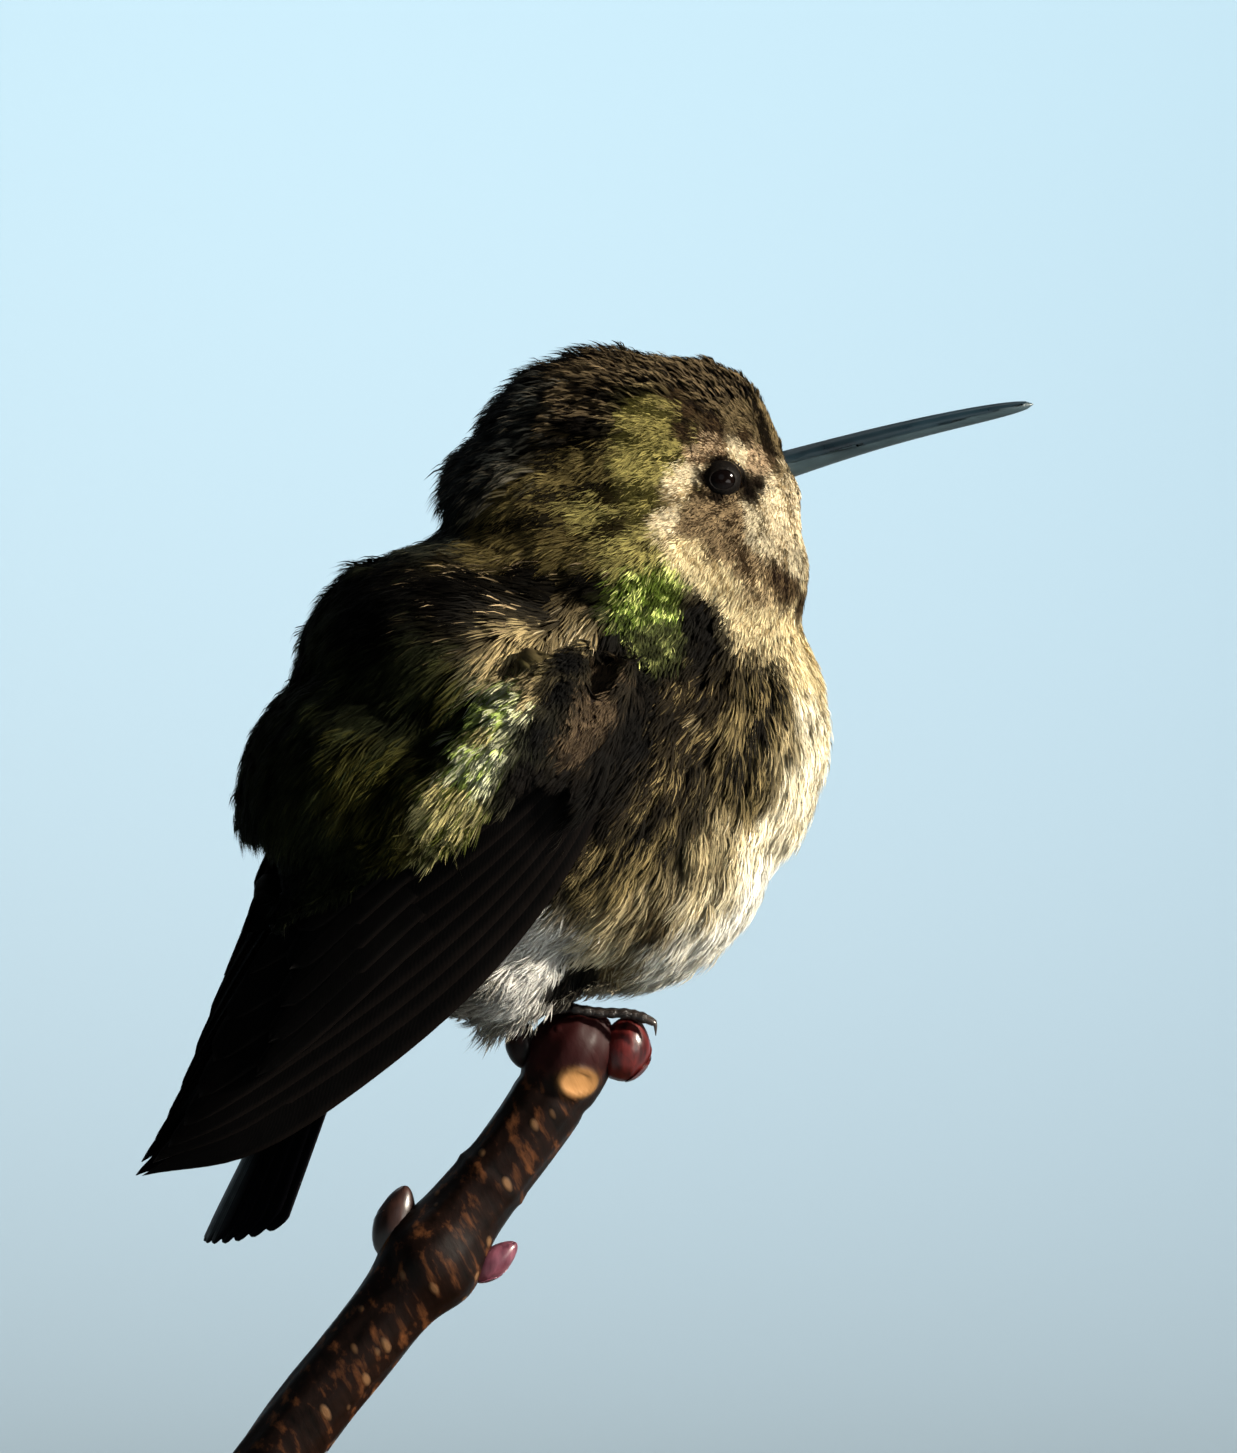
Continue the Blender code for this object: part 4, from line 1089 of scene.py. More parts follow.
def growKind(kind, settings):
    mask = lookKind == kind

    def allowed(spot):
        wingAt, _, bare, under = openWing(spot)
        under |= (spot @ alongAxis < -20.9) & (spot[:, 2] < 59)  # nothing stands out past the rump
        mine = tracts.weights(spot)[:, mask].sum(1)
        return (mine > dice.random(len(spot)) * 0.8 + 0.1) & ~under & ((bare < 0.4) | (wingAt < 0.25))

    tri, share, spot = scatterRoots(settings["spacing"], allowed)
    w = tracts.weights(spot)
    pickW = w**1.7 * mask
    pickW /= pickW.sum(1, keepdims=True)
    pick = (pickW.cumsum(1) > dice.random(len(spot))[:, None]).argmax(1)
    mixed = 0.5 * w
    mixed[np.arange(len(pick)), pick] += 0.5
    inner = (innerPoints[skinTris[tri]] * share[:, :, None]).sum(1)
    normal = unit((outerNormals[skinTris[tri]] * share[:, :, None]).sum(1))
    way = tracts.blend(w, tracts.ways)
    way = unit(way - normal * (way * normal).sum(1, keepdims=True))
    room = np.maximum(np.linalg.norm(spot - inner, axis=1), 0.3)
    eyeGap = np.minimum(*(np.linalg.norm(spot - centre, axis=1) for centre in eyeCentres))
    nearEye = 1 - smoothRise(eyeGap, 1.85, 2.3)
    room = room * (1 - nearEye) + 0.16 * nearEye
    inner = inner * (1 - nearEye[:, None]) + (spot + normal * 0.06) * nearEye[:, None]
    uv = (skinUv[skinLoops[tri]] * share[:, :, None]).sum(1)
    tone = np.exp(dice.normal(0, settings["speckle"], len(spot)))[:, None]
    thin = (skinThickness[skinTris[tri]] * share).sum(1)
    length = tracts.blend(w, tracts.length) * dice.uniform(0.74, 1.2, len(spot))
    length = length * (1 - 0.45 * nearEye) * (0.45 + 0.55 * smoothRise(thin, 1.0, 4.0))
    low = smoothRise(openWing(spot)[2], 0.3, 0.5)  # short and close over the wing's wrist
    length = length * (1 - 0.25 * low)
    close = spot - normal * np.minimum(0.42, room)[:, None]
    inner = inner * (1 - low[:, None]) + close * low[:, None]
    room = room * (1 - low) + 0.42 * low
    turn, liftShare = np.zeros(len(spot)), np.ones(len(spot))
    if settings["feather"]:  # tufts gather into feathers, each with its own tone, lie and lift
        _, _, middle = scatterRoots(settings["feather"], lambda p: np.ones(len(p), bool))
        nearest = nearestOf(nearestTree(middle), spot)[0]
        rel = (spot - middle[nearest]) / settings["feather"]
        down, beside = (rel * way).sum(1), (rel * np.cross(normal, way)).sum(1)
        one = dice.normal(0, 1, (len(middle), 3))[nearest]
        # painted shade across each feather: darker at its sides, lighter towards its tip
        featherShading = (1 + settings["edge"] * (0.3 * down - 0.35 * beside**2))[:, None].clip(0.6, 1.3)
        tone = tone * np.exp(settings["clump"] * one[:, :1]) * featherShading
        turn = 0.1 * one[:, 1] - 0.35 * beside
        liftShare = (1 + 0.1 * one[:, 2]) * (1.03 - 0.3 * np.abs(beside))
    return dict(
        turn=turn, liftShare=liftShare, inner=inner, normal=normal, way=way, room=room, uv=uv, tone=tone,
        length=length, outer=spot,
        **{part: tracts.blend(mixed, values) for part, values in lookColours.items()},
        **{part: tracts.blend(w, lookValues[part]) for part in ("share", "runs")},
        **{part: tracts.blend(mixed, lookValues[part]) for part in ("gloss", "width")},
    )


def bareMask(spot):  # nothing grows on the open eye
    keep = np.ones(len(spot), bool)
    for centre, axis in zip(eyeCentres, eyeAxes):
        rel = spot - centre
        ahead = rel @ axis
        beside = np.linalg.norm(rel - ahead[:, None] * axis, axis=1)
        keep &= (ahead < 0) | (beside > 0.95)
    return keep


def lockMesh(t, settings):  # tapered locks with a raised middle, fanned from each root
    count, locks, steps = len(t["inner"]), settings["locks"], settings["steps"]
    across = np.cross(t["normal"], t["way"])
    fan = np.linspace(-1, 1, locks)[None, :] + dice.normal(0, 0.22, (count, locks))
    turn = fan * settings["fan"] + dice.normal(0, 0.08, (count, 1)) + t["turn"][:, None]
    way, across, normal = t["way"][:, None, :], across[:, None, :], t["normal"][:, None, :]
    heading = way * np.cos(turn)[..., None] + across * np.sin(turn)[..., None]
    sideways = -way * np.sin(turn)[..., None] + across * np.cos(turn)[..., None]
    lockLength = t["length"][:, None] * (1 - (1 - settings["trim"]) * np.abs(fan) * 0.6)
    lockLength = lockLength * dice.uniform(0.82, 1.12, (count, locks))
    lift = (t["room"] * t["liftShare"])[:, None] * dice.uniform(*settings["rise"], (count, 1))
    lift = lift * dice.uniform(0.85, 1.1, (count, locks))
    bend = settings["bend"] * np.where(t["outer"][:, 2] > 80, 1 / 17, 1 / 27)[:, None]
    width = t["width"][:, None] * dice.uniform(0.75, 1.3, (count, locks))
    sideStep = fan * t["width"][:, None] * 0.55 * settings["spread"]
    base = t["inner"][:, None, :]
    middle = base + across * sideStep[..., None] + way * (0.5 * t["length"])[:, None, None]
    middle = middle.reshape(-1, 3)
    if settings["rows"]:
        rows = latticeNoise(middle @ alongAxis * 1.1 + middle[:, 2] * 0.3, middle[:, 2] * 1.9) * 1.5
    else:
        rows = featherRuns(middle)
    rows = rows.reshape(count, locks)
    # pale streaks on the light runs, dark ones on the dark
    toward = np.where(t["streak"].sum(1) > t["tip"].sum(1), 1, -1)[:, None]
    likely = t["share"][:, None] * (0.4 + 2.4 * smoothRise(rows * toward, -0.1, 0.6))
    streaked = dice.random((count, locks)) < likely
    speckle = dice.normal(0, 0.5 * settings["speckle"], (count, locks))
    tone = (t["tone"] * np.exp(rows * t["runs"][:, None] + speckle))[..., None]
    rootColour = t["root"][:, None, :] * tone
    tipColour = np.where(streaked[..., None], t["streak"][:, None, :], t["tip"][:, None, :]) * tone
    roll = dice.normal(0, 0.35, (count, locks))[..., None]
    shares = {2: (0.0, 0.5, 1.0), 3: (0.0, 0.36, 0.72, 1.0)}[steps]
    wide = {2: (0.6, 1.0, 0.0), 3: (0.45, 1.0, 0.8, 0.0)}[steps]
    points, colours, us, vs = [], [], [], []
    for k, (s, wFactor) in enumerate(zip(shares, wide)):
        reach = lockLength * s
        shift = sideStep * (1 - settings["gather"] * s**1.5)
        raised = lift * (1 - (1 - s) ** 2) - bend * reach**2
        centre = base + across * shift[..., None] + heading * reach[..., None] + normal * raised[..., None]
        # each lock runs from the root colour to the tip colour: the dark root is partly the feather's own
        # base, partly painted shade between tufts
        colour = rootColour * (1 - s) + tipColour * s
        if k == 0 or wFactor == 0:
            ring = [(centre, 0.5)]
        else:
            half = (sideways * np.cos(roll) + normal * np.sin(roll)) * (width * wFactor * 0.5)[..., None]
            ring = [(centre - half, 0.0), (centre + half, 1.0)]
        for place, u in ring:
            points.append(place)
            colours.append(colour)
            us.append(u)
            vs.append(s)
    points = np.stack(points, 2)  # tufts, locks, points of a lock, xyz
    per = points.shape[2]
    colours = np.stack(colours, 2)
    start = (np.arange(count * locks) * per)[:, None]
    tris = np.array([[0, 1, 2], [per - 3, per - 1, per - 2]])
    quads = np.array([[1 + 2 * k, 3 + 2 * k, 4 + 2 * k, 2 + 2 * k] for k in range(steps - 2)]).reshape(-1, 4)
    tris = (start[:, :, None] + tris[None]).reshape(-1, 3)
    quads = (start[:, :, None] + quads[None]).reshape(-1, 4) if len(quads) else np.zeros((0, 4), int)
    us, vs = np.array(us), np.array(vs)
    barbU = np.broadcast_to(us, (count, locks, per))
    lockPlace = (np.arange(locks)[None, :, None] + 0.5) / locks
    bakeU = t["uv"][:, None, None, 0] + ((lockPlace + (us - 0.5) / locks * 0.8) - 0.5) * patchSize
    bakeV = t["uv"][:, None, None, 1] + (vs - 0.5) * patchSize
    return dict(
        points=points.reshape(-1, 3), colours=colours.reshape(-1, 3),
        gloss=np.repeat(t["gloss"], locks * per),
        tris=tris, quads=quads,
        barb=np.stack([barbU, np.broadcast_to(vs, (count, locks, per))], -1).reshape(-1, 2),
        bake=np.stack([bakeU, np.broadcast_to(bakeV, bakeU.shape)], -1).reshape(-1, 2), perTuft=locks * per,
        count=count,
    )


def pieceOf(spots):  # which named piece of the coat a tuft belongs to
    along = spots @ alongAxis
    up = spots[:, 2]
    left = spots @ sideAxis > 0
    names = np.full(len(spots), "coat_flank_right", dtype=object)
    names[(spots[:, 1] > 0)] = "coat_flank_left"
    names[(spots[:, 1] <= 0) & (along < -6)] = "coat_back_right"
    names[(spots[:, 1] > 0) & (along < -6)] = "coat_back_left"
    names[(along > 12) & (up < 78)] = "coat_breast"
    names[(up < 56) & (along > -12)] = "coat_belly"
    names[(up >= 78) & ~left] = "coat_neck_right"
    names[(up >= 78) & left] = "coat_neck_left"
    names[(up >= 84) & ~left] = "coat_head_right"
    names[(up >= 84) & left] = "coat_head_left"
    return names


def growCoat():
    grown = []
    for kind, settings in tuftKinds.items():
        t = growKind(kind, settings)
        keep = bareMask(t["outer"])
        t = {key: values[keep] for key, values in t.items()}
        made = lockMesh(t, settings)
        made["names"] = pieceOf(t["outer"])
        grown.append(made)
        triangles = len(made["tris"]) + 2 * len(made["quads"])
        print("coat", kind, made["count"], "tufts", triangles, "triangles")
    return grown


def coatPiece(name, grown):
    columns = {key: [] for key in ("points", "colours", "gloss", "barb", "bake", "tris", "quads")}
    offset = 0
    for g in grown:
        mine = g["names"] == name
        if not mine.any():
            continue
        chosen = np.repeat(mine, g["perTuft"])
        renumber = np.cumsum(chosen) - 1 + offset
        for key in ("points", "colours", "gloss", "barb", "bake"):
            columns[key].append(g[key][chosen])
        for key in ("tris", "quads"):
            if len(g[key]):
                columns[key].append(renumber[g[key][chosen[g[key][:, 0]]]])
        offset += int(chosen.sum())
    columns = {key: np.concatenate(rows) for key, rows in columns.items() if rows}
    faces = [columns[key] for key in ("tris", "quads") if key in columns]
    obj, loops = meshFrom(name, columns["points"], faces)
    setTint(obj, columns["colours"], columns["gloss"])
    setUv(obj, "barbs", columns["barb"][loops])
    setUv(obj, "OFBake", columns["bake"][loops])
    print(name, sum(len(f) * (f.shape[1] - 2) for f in faces), "triangles")
    if any(part in name for part in ("belly", "breast", "flank")):
        finishPiece(obj, paleMaterial)
    else:
        finishPiece(obj, darkMaterial)


paleMaterial = plumageMaterial("softPlumage", bump=0.25, specular=0.08, sheen=0.02)
darkMaterial = plumageMaterial("glossyPlumage", bump=0.25, specular=0.03, sheen=0.0)
grownCoat = growCoat()
for name in sorted(set(np.concatenate([g["names"] for g in grownCoat]))):
    coatPiece(name, grownCoat)


# a closed blade from surface(a, b), a along and b across
def bladeGrid(surface, name, thickness, nLong=34, nWide=8):
    a, b = np.meshgrid(np.linspace(0, 1, nLong), np.linspace(-1, 1, nWide), indexing="ij")
    topFace = surface(a, b, thickness / 2)
    underFace = surface(a, b, -thickness / 2)
    points = np.concatenate([topFace.reshape(-1, 3), underFace.reshape(-1, 3)])
    n = nLong * nWide
    quads = []
    for i in range(nLong - 1):
        for j in range(nWide - 1):
            p = i * nWide + j
            quads.append([p, p + nWide, p + nWide + 1, p + 1])
            quads.append([n + p, n + p + 1, n + p + nWide + 1, n + p + nWide])
    rim = [(i * nWide, (i + 1) * nWide) for i in range(nLong - 1)]
    rim += [((nLong - 1) * nWide + j, (nLong - 1) * nWide + j + 1) for j in range(nWide - 1)]
    rim += [((i + 1) * nWide + nWide - 1, i * nWide + nWide - 1) for i in range(nLong - 1)]
    rim += [(j + 1, j) for j in range(nWide - 1)]
    quads += [[p, n + p, n + q, q] for p, q in rim]
    obj, loops = meshFrom(name, points, [np.array(quads)])
    flat = np.stack([0.5 + 0.5 * b, a], -1).reshape(-1, 2)
    setUv(obj, "barbs", np.concatenate([flat, flat])[loops])
    return obj


def primaryBlade(i):
    count = wingSettings["primaryCount"]
    k = i / (count - 1)  # 0 is the outermost, along the leading edge
    tip = 1.0 - 0.5 * k**1.25
    startS = 0.13

    def surface(a, b, offset):
        s = startS + (tip - startS) * a
        lead = 0.78 * k * np.clip(a, 0, 1) ** 0.35
        endLead = min(0.97, 0.3 + 0.75 * k)
        lead = lead * (1 - a**3) + endLead * a**3 if i else np.zeros_like(a)
        width = (0.34 + 0.3 * a * (1 - k)) * (1 - k * 0.2)
        taper = np.sqrt(np.clip(1 - a**6, 0, 1))
        w = lead + width * ((b + 1) / 2) * taper + (1 - taper) * width * 0.35
        w = np.minimum(w, 0.985)
        ridge = 0.1 * (1 - b**2) * taper
        sunk = 1.2 * np.clip(1 - a / 0.12, 0, 1) ** 1.5
        return wingPoints(s, w, -0.38 + 0.75 * k + ridge - sunk + offset)

    return bladeGrid(surface, f"primary_{i}", wingSettings["bladeThickness"])


def secondaryBlade(i):
    count = wingSettings["secondaryCount"]
    k = i / (count - 1)

    def surface(a, b, offset):
        s = 0.36 + (0.24 - 0.1 * k) * a + 0.14 * (1 - k) * a
        middle = 0.42 + 0.44 * k + 0.08 * a
        taper = np.sqrt(np.clip(1 - a**8, 0, 1))
        w = np.clip(middle + 0.11 * b * taper, 0, 0.99)
        sunk = 1.4 * np.clip(1 - a / 0.5, 0, 1)
        return wingPoints(s, w, 0.52 + 0.45 * k + 0.12 * (1 - b**2) - sunk + offset)

    return bladeGrid(surface, f"secondary_{i}", wingSettings["bladeThickness"], 22, 7)


def mirrorPiece(obj, name):
    made = obj.copy()
    made.data = obj.data.copy()
    made.name = name
    bpy.context.scene.collection.objects.link(made)
    setCoordinates(made.data, coordinates(made.data) * np.array([1, -1, 1]))
    made.data.flip_normals()
    return made


print("wings")
bladeDark = bladeMaterial("flightFeather", paint(3, 3, 3), paint(8, 6, 6), paint(24, 19, 17))
tailDark = bladeMaterial("tailFeather", paint(2, 2, 4), paint(6, 6, 9), paint(11, 10, 14))
rightPrimaries = joinAll([primaryBlade(i) for i in range(wingSettings["primaryCount"])], "wing_right_flight")
rightSecondaries = joinAll(
    [secondaryBlade(i) for i in range(wingSettings["secondaryCount"])], "wing_right_inner"
)
for right, layer in ((rightPrimaries, "primaries"), (rightSecondaries, "secondaries")):
    tidyNormals(right)
    left = mirrorPiece(right, right.name.replace("right", "left"))
    finishPiece(right, bladeDark, [f"wing_right_{layer}"])
    finishPiece(left, bladeDark, [f"wing_left_{layer}"])


tailSettings = dict(
    root=(-16.2, 0, 52.6), slope=math.radians(63), length=25.4, halfRoot=3.6, spread=math.radians(8.5),
    arch=1.6, feathers=10, thickness=0.12
)


def tailPoints(x, v, lift):  # x across from -1 right to 1 left, v along, lift up from the fan
    t = tailSettings
    reach = t["length"] * (1 - 0.1 * np.clip(x, -1, 1) ** 2) * v
    angle = t["spread"] * x
    side = t["halfRoot"] * x + reach * np.sin(angle)
    run = reach * np.cos(angle)
    droop = t["arch"] * x**2 * (0.35 + 0.65 * v) - lift
    return np.stack([
        t["root"][0] - run * math.cos(t["slope"]) + droop * math.sin(t["slope"]),
        side,
        t["root"][2] - run * math.sin(t["slope"]) - droop * math.cos(t["slope"]),
    ], -1)


def tailBlade(i):
    count = tailSettings["feathers"]
    x = -1 + (2 * i + 1) / count
    layer = 0.34 - 0.68 * abs(x)  # the middle feathers lie on top

    def surface(a, b, offset):
        taper = np.sqrt(np.clip(1 - a**26, 0, 1))
        half = (0.16 + 0.08 * a) * (0.62 + 0.38 * taper)
        across = np.clip(x * (1 - 0.1 * (1 - a)) + half * b, -1.02, 1.02)
        return tailPoints(across, a * (1 - 0.035 * b**2 * a**8), layer + 0.08 * (1 - b**2) + offset)

    return bladeGrid(surface, f"rectrix_{i}", tailSettings["thickness"], 26, 7)


print("tail")
tail = joinAll([tailBlade(i) for i in range(tailSettings["feathers"])], "tail_feathers")
tidyNormals(tail)
finishPiece(tail, tailDark, ["tail"])


billSettings = dict(root=(15.6, 87.8), tip=(35.6, 92.85), radius=1.15, rise=0.35, seam=0.006)


def tubeAlong(name, points, radii, sides=24, caps=True):  # points and radii in mm
    curve = bpy.data.curves.new(name, "CURVE")
    curve.dimensions = "3D"
    curve.bevel_depth = mm
    curve.bevel_resolution = max(sides // 2 - 2, 0)
    curve.use_fill_caps = caps
    spline = curve.splines.new("POLY")
    spline.points.add(len(points) - 1)
    for spot, point, radius in zip(spline.points, points, radii):
        spot.co = (*(np.asarray(point) * mm), 1)
        spot.radius = radius
    obj = bpy.data.objects.new(name, curve)
    bpy.context.scene.collection.objects.link(obj)
    selectOnly(obj)
    bpy.ops.object.convert(target="MESH")
    obj = bpy.context.object
    tidyNormals(obj, 0.004 * mm)
    obj.data.polygons.foreach_set("use_smooth", np.full(len(obj.data.polygons), True))
    return obj


def makeBill():
    b = billSettings
    t = np.linspace(0, 1, 40)
    along = b["root"][0] + (b["tip"][0] - b["root"][0]) * t
    up = b["root"][1] + (b["tip"][1] - b["root"][1]) * t + b["rise"] * np.sin(np.pi * t)
    radii = b["radius"] * (1 - 0.9 * t + 0.5 * t**2) * np.sqrt(1 - t**7) + 0.03
    points = [turned(x, 0, z) for x, z in zip(along, up)]
    slope = math.atan2(b["tip"][1] - b["root"][1], b["tip"][0] - b["root"][0])
    upward = turned(-math.sin(slope), 0, math.cos(slope))
    middle = turned(b["root"][0], 0, b["root"][1] + b["rise"] * 0.6)
    made = []
    for name, sense in (("bill_upper_horn", 1), ("bill_lower_horn", -1)):
        half = tubeAlong(name, points, radii if sense > 0 else radii * 0.93, 28)
        editMesh(half)
        bpy.ops.mesh.bisect(
            plane_co=Vector((middle + upward * sense * b["seam"]) * mm), plane_no=Vector(upward * sense),
            use_fill=True, clear_inner=True
        )
        leaveEdit()
        tidyNormals(half)
        rim = half.modifiers.new("rim", "BEVEL")
        rim.width = 0.05 * mm
        rim.segments = 2
        rim.limit_method = "ANGLE"
        rim.angle_limit = math.radians(50)
        applyModifiers(half)
        made.append(half)
    # nostril: a slit under a swollen flap on each side of the upper half
    points = coordinates(made[0].data)
    rel = points - turned(17.6, 0, 88.6)
    a, s, z = rel @ alongAxis, rel @ sideAxis, rel[:, 2]
    slit = np.exp(-(((a - 0.6) / 1.0) ** 2) - (((z + 0.15 - a * 0.24) / 0.16) ** 2))
    flap = np.exp(-((a / 1.4) ** 2) - (((z - 0.18 - a * 0.24) / 0.22) ** 2))
    points += sideAxis[None] * (np.sign(s) * (flap * 0.07 - slit * 0.1) * (np.abs(s) > 0.4))[:, None]
    setCoordinates(made[0].data, points)
    return made


print("bill")
billHorn = hornMaterial(
    "billHorn", paint(7, 20, 27), paint(28, 52, 64), 0.32, stretch=(0.12, 1, 1), coat=0.35
)
billLower = hornMaterial(
    "billLowerHorn", paint(26, 40, 46), paint(66, 86, 94), 0.34, stretch=(0.12, 1, 1), coat=0.3
)
billUpperHorn, billLowerHorn = makeBill()
finishPiece(billUpperHorn, billHorn, ["bill_upper"], smoothAngle=35)
finishPiece(billLowerHorn, billLower, ["bill_lower"], smoothAngle=35)


eyeSettings = dict(radius=1.65, lidInner=0.94, openingShape=0.8)


def makeEyes(eyeMaterial):  # finishes the eyeballs and returns the lids
    lids = []
    for side in ("right", "left"):
        low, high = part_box("eye_" + side)
        centre = np.array((low + high) / 2) / mm
        outward = eyeAxes[0 if side == "right" else 1]
        deselectAll()
        bpy.ops.mesh.primitive_uv_sphere_add(
            segments=48, ring_count=32, radius=eyeSettings["radius"] * mm, location=(0, 0, 0)
        )
        ball = bpy.context.object
        ball.name = f"eyeball_{side}"
        points = coordinates(ball.data)
        # the clear front bulges a little
        points[:, 2] += 0.12 * np.clip(points[:, 2] / eyeSettings["radius"] - 0.6, 0, 1) ** 2
        setCoordinates(ball.data, points)
        spin = Vector((0, 0, 1)).rotation_difference(Vector(outward)).to_matrix().to_4x4()
        ball.data.transform(Matrix.Translation(Vector(centre * mm)) @ spin)
        finishPiece(ball, eyeMaterial, ["eye_" + side], smoothAngle=60)
        # lids: a soft annulus that hugs the ball, with a rounded rim and an opening wider than high
        profile = [
            (0.0, -0.05), (-0.02, 0.03), (0.04, 0.07), (0.14, 0.08), (0.3, 0.05), (0.5, 0.04), (0.7, 0.0),
            (0.9, -0.25), (1.1, -0.7)
        ]
        turns = np.linspace(0, 2 * np.pi, 56, endpoint=False)
        rows = []
        for across, above in profile:
            stretch = 1 - (1 - eyeSettings["openingShape"]) * max(1 - max(across, 0) / 0.5, 0)
            reach = eyeSettings["lidInner"] + across
            r = np.hypot(np.cos(turns), np.sin(turns) * stretch) * reach
            depth = np.sqrt(np.maximum(eyeSettings["radius"] ** 2 - r**2, 0.0))
            rows.append(np.stack([np.cos(turns) * reach, np.sin(turns) * stretch * reach, depth + above], -1))
        count = len(turns)
        quads = [
            [
                k * count + j, k * count + (j + 1) % count, (k + 1) * count + (j + 1) % count,
                (k + 1) * count + j
            ]
            for k in range(len(profile) - 1) for j in range(count)
        ]
        lid, _ = meshFrom(f"lid_{side}", np.concatenate(rows), [np.array(quads)])
        right = np.cross(upAxis, outward)
        upward = np.cross(outward, unit(right))
        basis = Matrix((tuple(unit(right)), tuple(upward), tuple(outward))).transposed().to_4x4()
        lid.data.transform(Matrix.Translation(Vector(centre * mm)) @ basis)
        lids.append(lid)
    return lids


def wetEyeMaterial():
    material, tree, shader = newMaterial(
        "wetEye",
        {
            "Roughness": 0.1, "IOR": 1.36, "Specular IOR Level": 0.2, "Coat Weight": 0.14,
            "Coat Roughness": 0.03, "Coat IOR": 1.36
        }
    )
    cloud = noise(tree, objectPlace(tree), 900.0, 3.0)
    tone = rampNode(tree, cloud, ((0.3, paint(5, 3, 3)), (0.75, paint(15, 8, 6))))
    feed(tree, shader, {"Base Color": tone})
    return material


def lidSkinMaterial():
    material, tree, shader = newMaterial(
        "lidSkin", {"IOR": 1.45, "Specular IOR Level": 0.12, "Roughness": 0.6}
    )
    wrinkle = addNode(tree, "ShaderNodeTexVoronoi", {"Vector": objectPlace(tree), "Scale": 5200.0}).outputs[0]
    tone = rampNode(tree, wrinkle, ((0.1, paint(17, 12, 8)), (0.7, paint(7, 5, 4))))
    feed(tree, shader, {"Base Color": tone})
    bumpInto(tree, shader, wrinkle, 0.4, 0.00005)
    return material


print("eyes")
lids = makeEyes(wetEyeMaterial())
lidMaterial = lidSkinMaterial()
for lid in lids:
    lid.data.materials.append(lidMaterial)
    setTint(lid, np.tile(paint(40, 33, 28), (len(lid.data.vertices), 1)), np.zeros(len(lid.data.vertices)))


footSettings = dict(
    side=1.75, spacing=0.95, toe=0.34, shank=0.45,
    front=((0.9, 47.4), (3.0, 47.1), (5.2, 47.0), (6.5, 46.6)),
    hind=((0.9, 47.4), (-0.9, 47.25), (-2.5, 46.95)),
    leg=((0.85, 47.9), (0.2, 51.0), (-0.3, 53.2)),
    frontClaw=((6.3, 46.7), (6.95, 46.4), (7.15, 46.2), (7.2, 45.4)),
    hindClaw=((-2.35, 47.0), (-3.2, 46.8), (-3.7, 46.6), (-3.8, 45.9)),
)


def linePoints(flat, side, steps):
    rows = through([(a, side, u) for a, u in flat], np.linspace(0, 1, steps))
    return [turned(*row) for row in rows]


def makeFeet():
    f = footSettings
    toes, claws = [], {}
    for name, sense in (("right", -1), ("left", 1)):
        middle = f["side"] * sense
        for i, offset in enumerate((-f["spacing"], 0, f["spacing"])):
            line = linePoints(f["front"], middle + offset, 30)
            line[0] = turned(f["front"][0][0], middle, f["front"][0][1])
            ring = f["toe"] * (
                1 + 0.1 * np.sin(np.linspace(0, 14 * math.pi, 30))
                + 0.14 * np.exp(-((np.linspace(0, 1, 30) - 0.93) / 0.08) ** 2)
            )
            toes.append(tubeAlong("toe", line, ring, 14))
            claws[f"claw_{name}_{i + 1}"] = tubeAlong(
                "claw", linePoints(f["frontClaw"], middle + offset, 16),
                0.31 * (1 - np.linspace(0, 0.95, 16) ** 1.6), 14
            )
        line = linePoints(f["hind"], middle, 26)
        toes.append(
            tubeAlong("toe", line, f["toe"] * (1 + 0.1 * np.sin(np.linspace(0, 12 * math.pi, 26))), 14)
        )
        claws[f"claw_{name}_4"] = tubeAlong(
            "claw", linePoints(f["hindClaw"], middle, 16), 0.33 * (1 - np.linspace(0, 0.95, 16) ** 1.6), 14
        )
        line = linePoints(f["leg"], middle, 22)
        toes.append(
            tubeAlong("shank", line, f["shank"] * (1 + 0.06 * np.sin(np.linspace(0, 11 * math.pi, 22))), 16)
        )
    feet = joinAll(toes, "feet")
    fuse = feet.modifiers.new("fuse", "REMESH")
    fuse.mode = "VOXEL"
    fuse.voxel_size = 0.09 * mm
    smooth = feet.modifiers.new("smooth", "SMOOTH")
    smooth.iterations = 2
    applyModifiers(feet)
    return feet, claws


def scuteMaterial():
    material, tree, shader = newMaterial(
        "scuteSkin", {"IOR": 1.5, "Specular IOR Level": 0.5, "Roughness": 0.45}
    )
    cells = {"Vector": objectPlace(tree), "Scale": 2600.0}
    scutes = addNode(tree, "ShaderNodeTexVoronoi", cells, feature="DISTANCE_TO_EDGE").outputs[0]
    line = remap(tree, scutes, 0.0, 0.12)
    feed(tree, shader, {"Base Color": mixColour(tree, line, paint(10, 8, 7), paint(38, 30, 26))})
    bumpInto(tree, shader, line, 0.5, 0.00006)
    return material


print("feet")
feet, claws = makeFeet()
feet.data.materials.append(scuteMaterial())
feet.data.polygons.foreach_set("use_smooth", np.full(len(feet.data.polygons), True))
clawHorn = hornMaterial("clawHorn", paint(20, 16, 15), paint(70, 60, 54), 0.26, coat=0.4)
for name, claw in claws.items():
    claw.name = name.replace("claw", "nail")
    finishPiece(claw, clawHorn, [name])


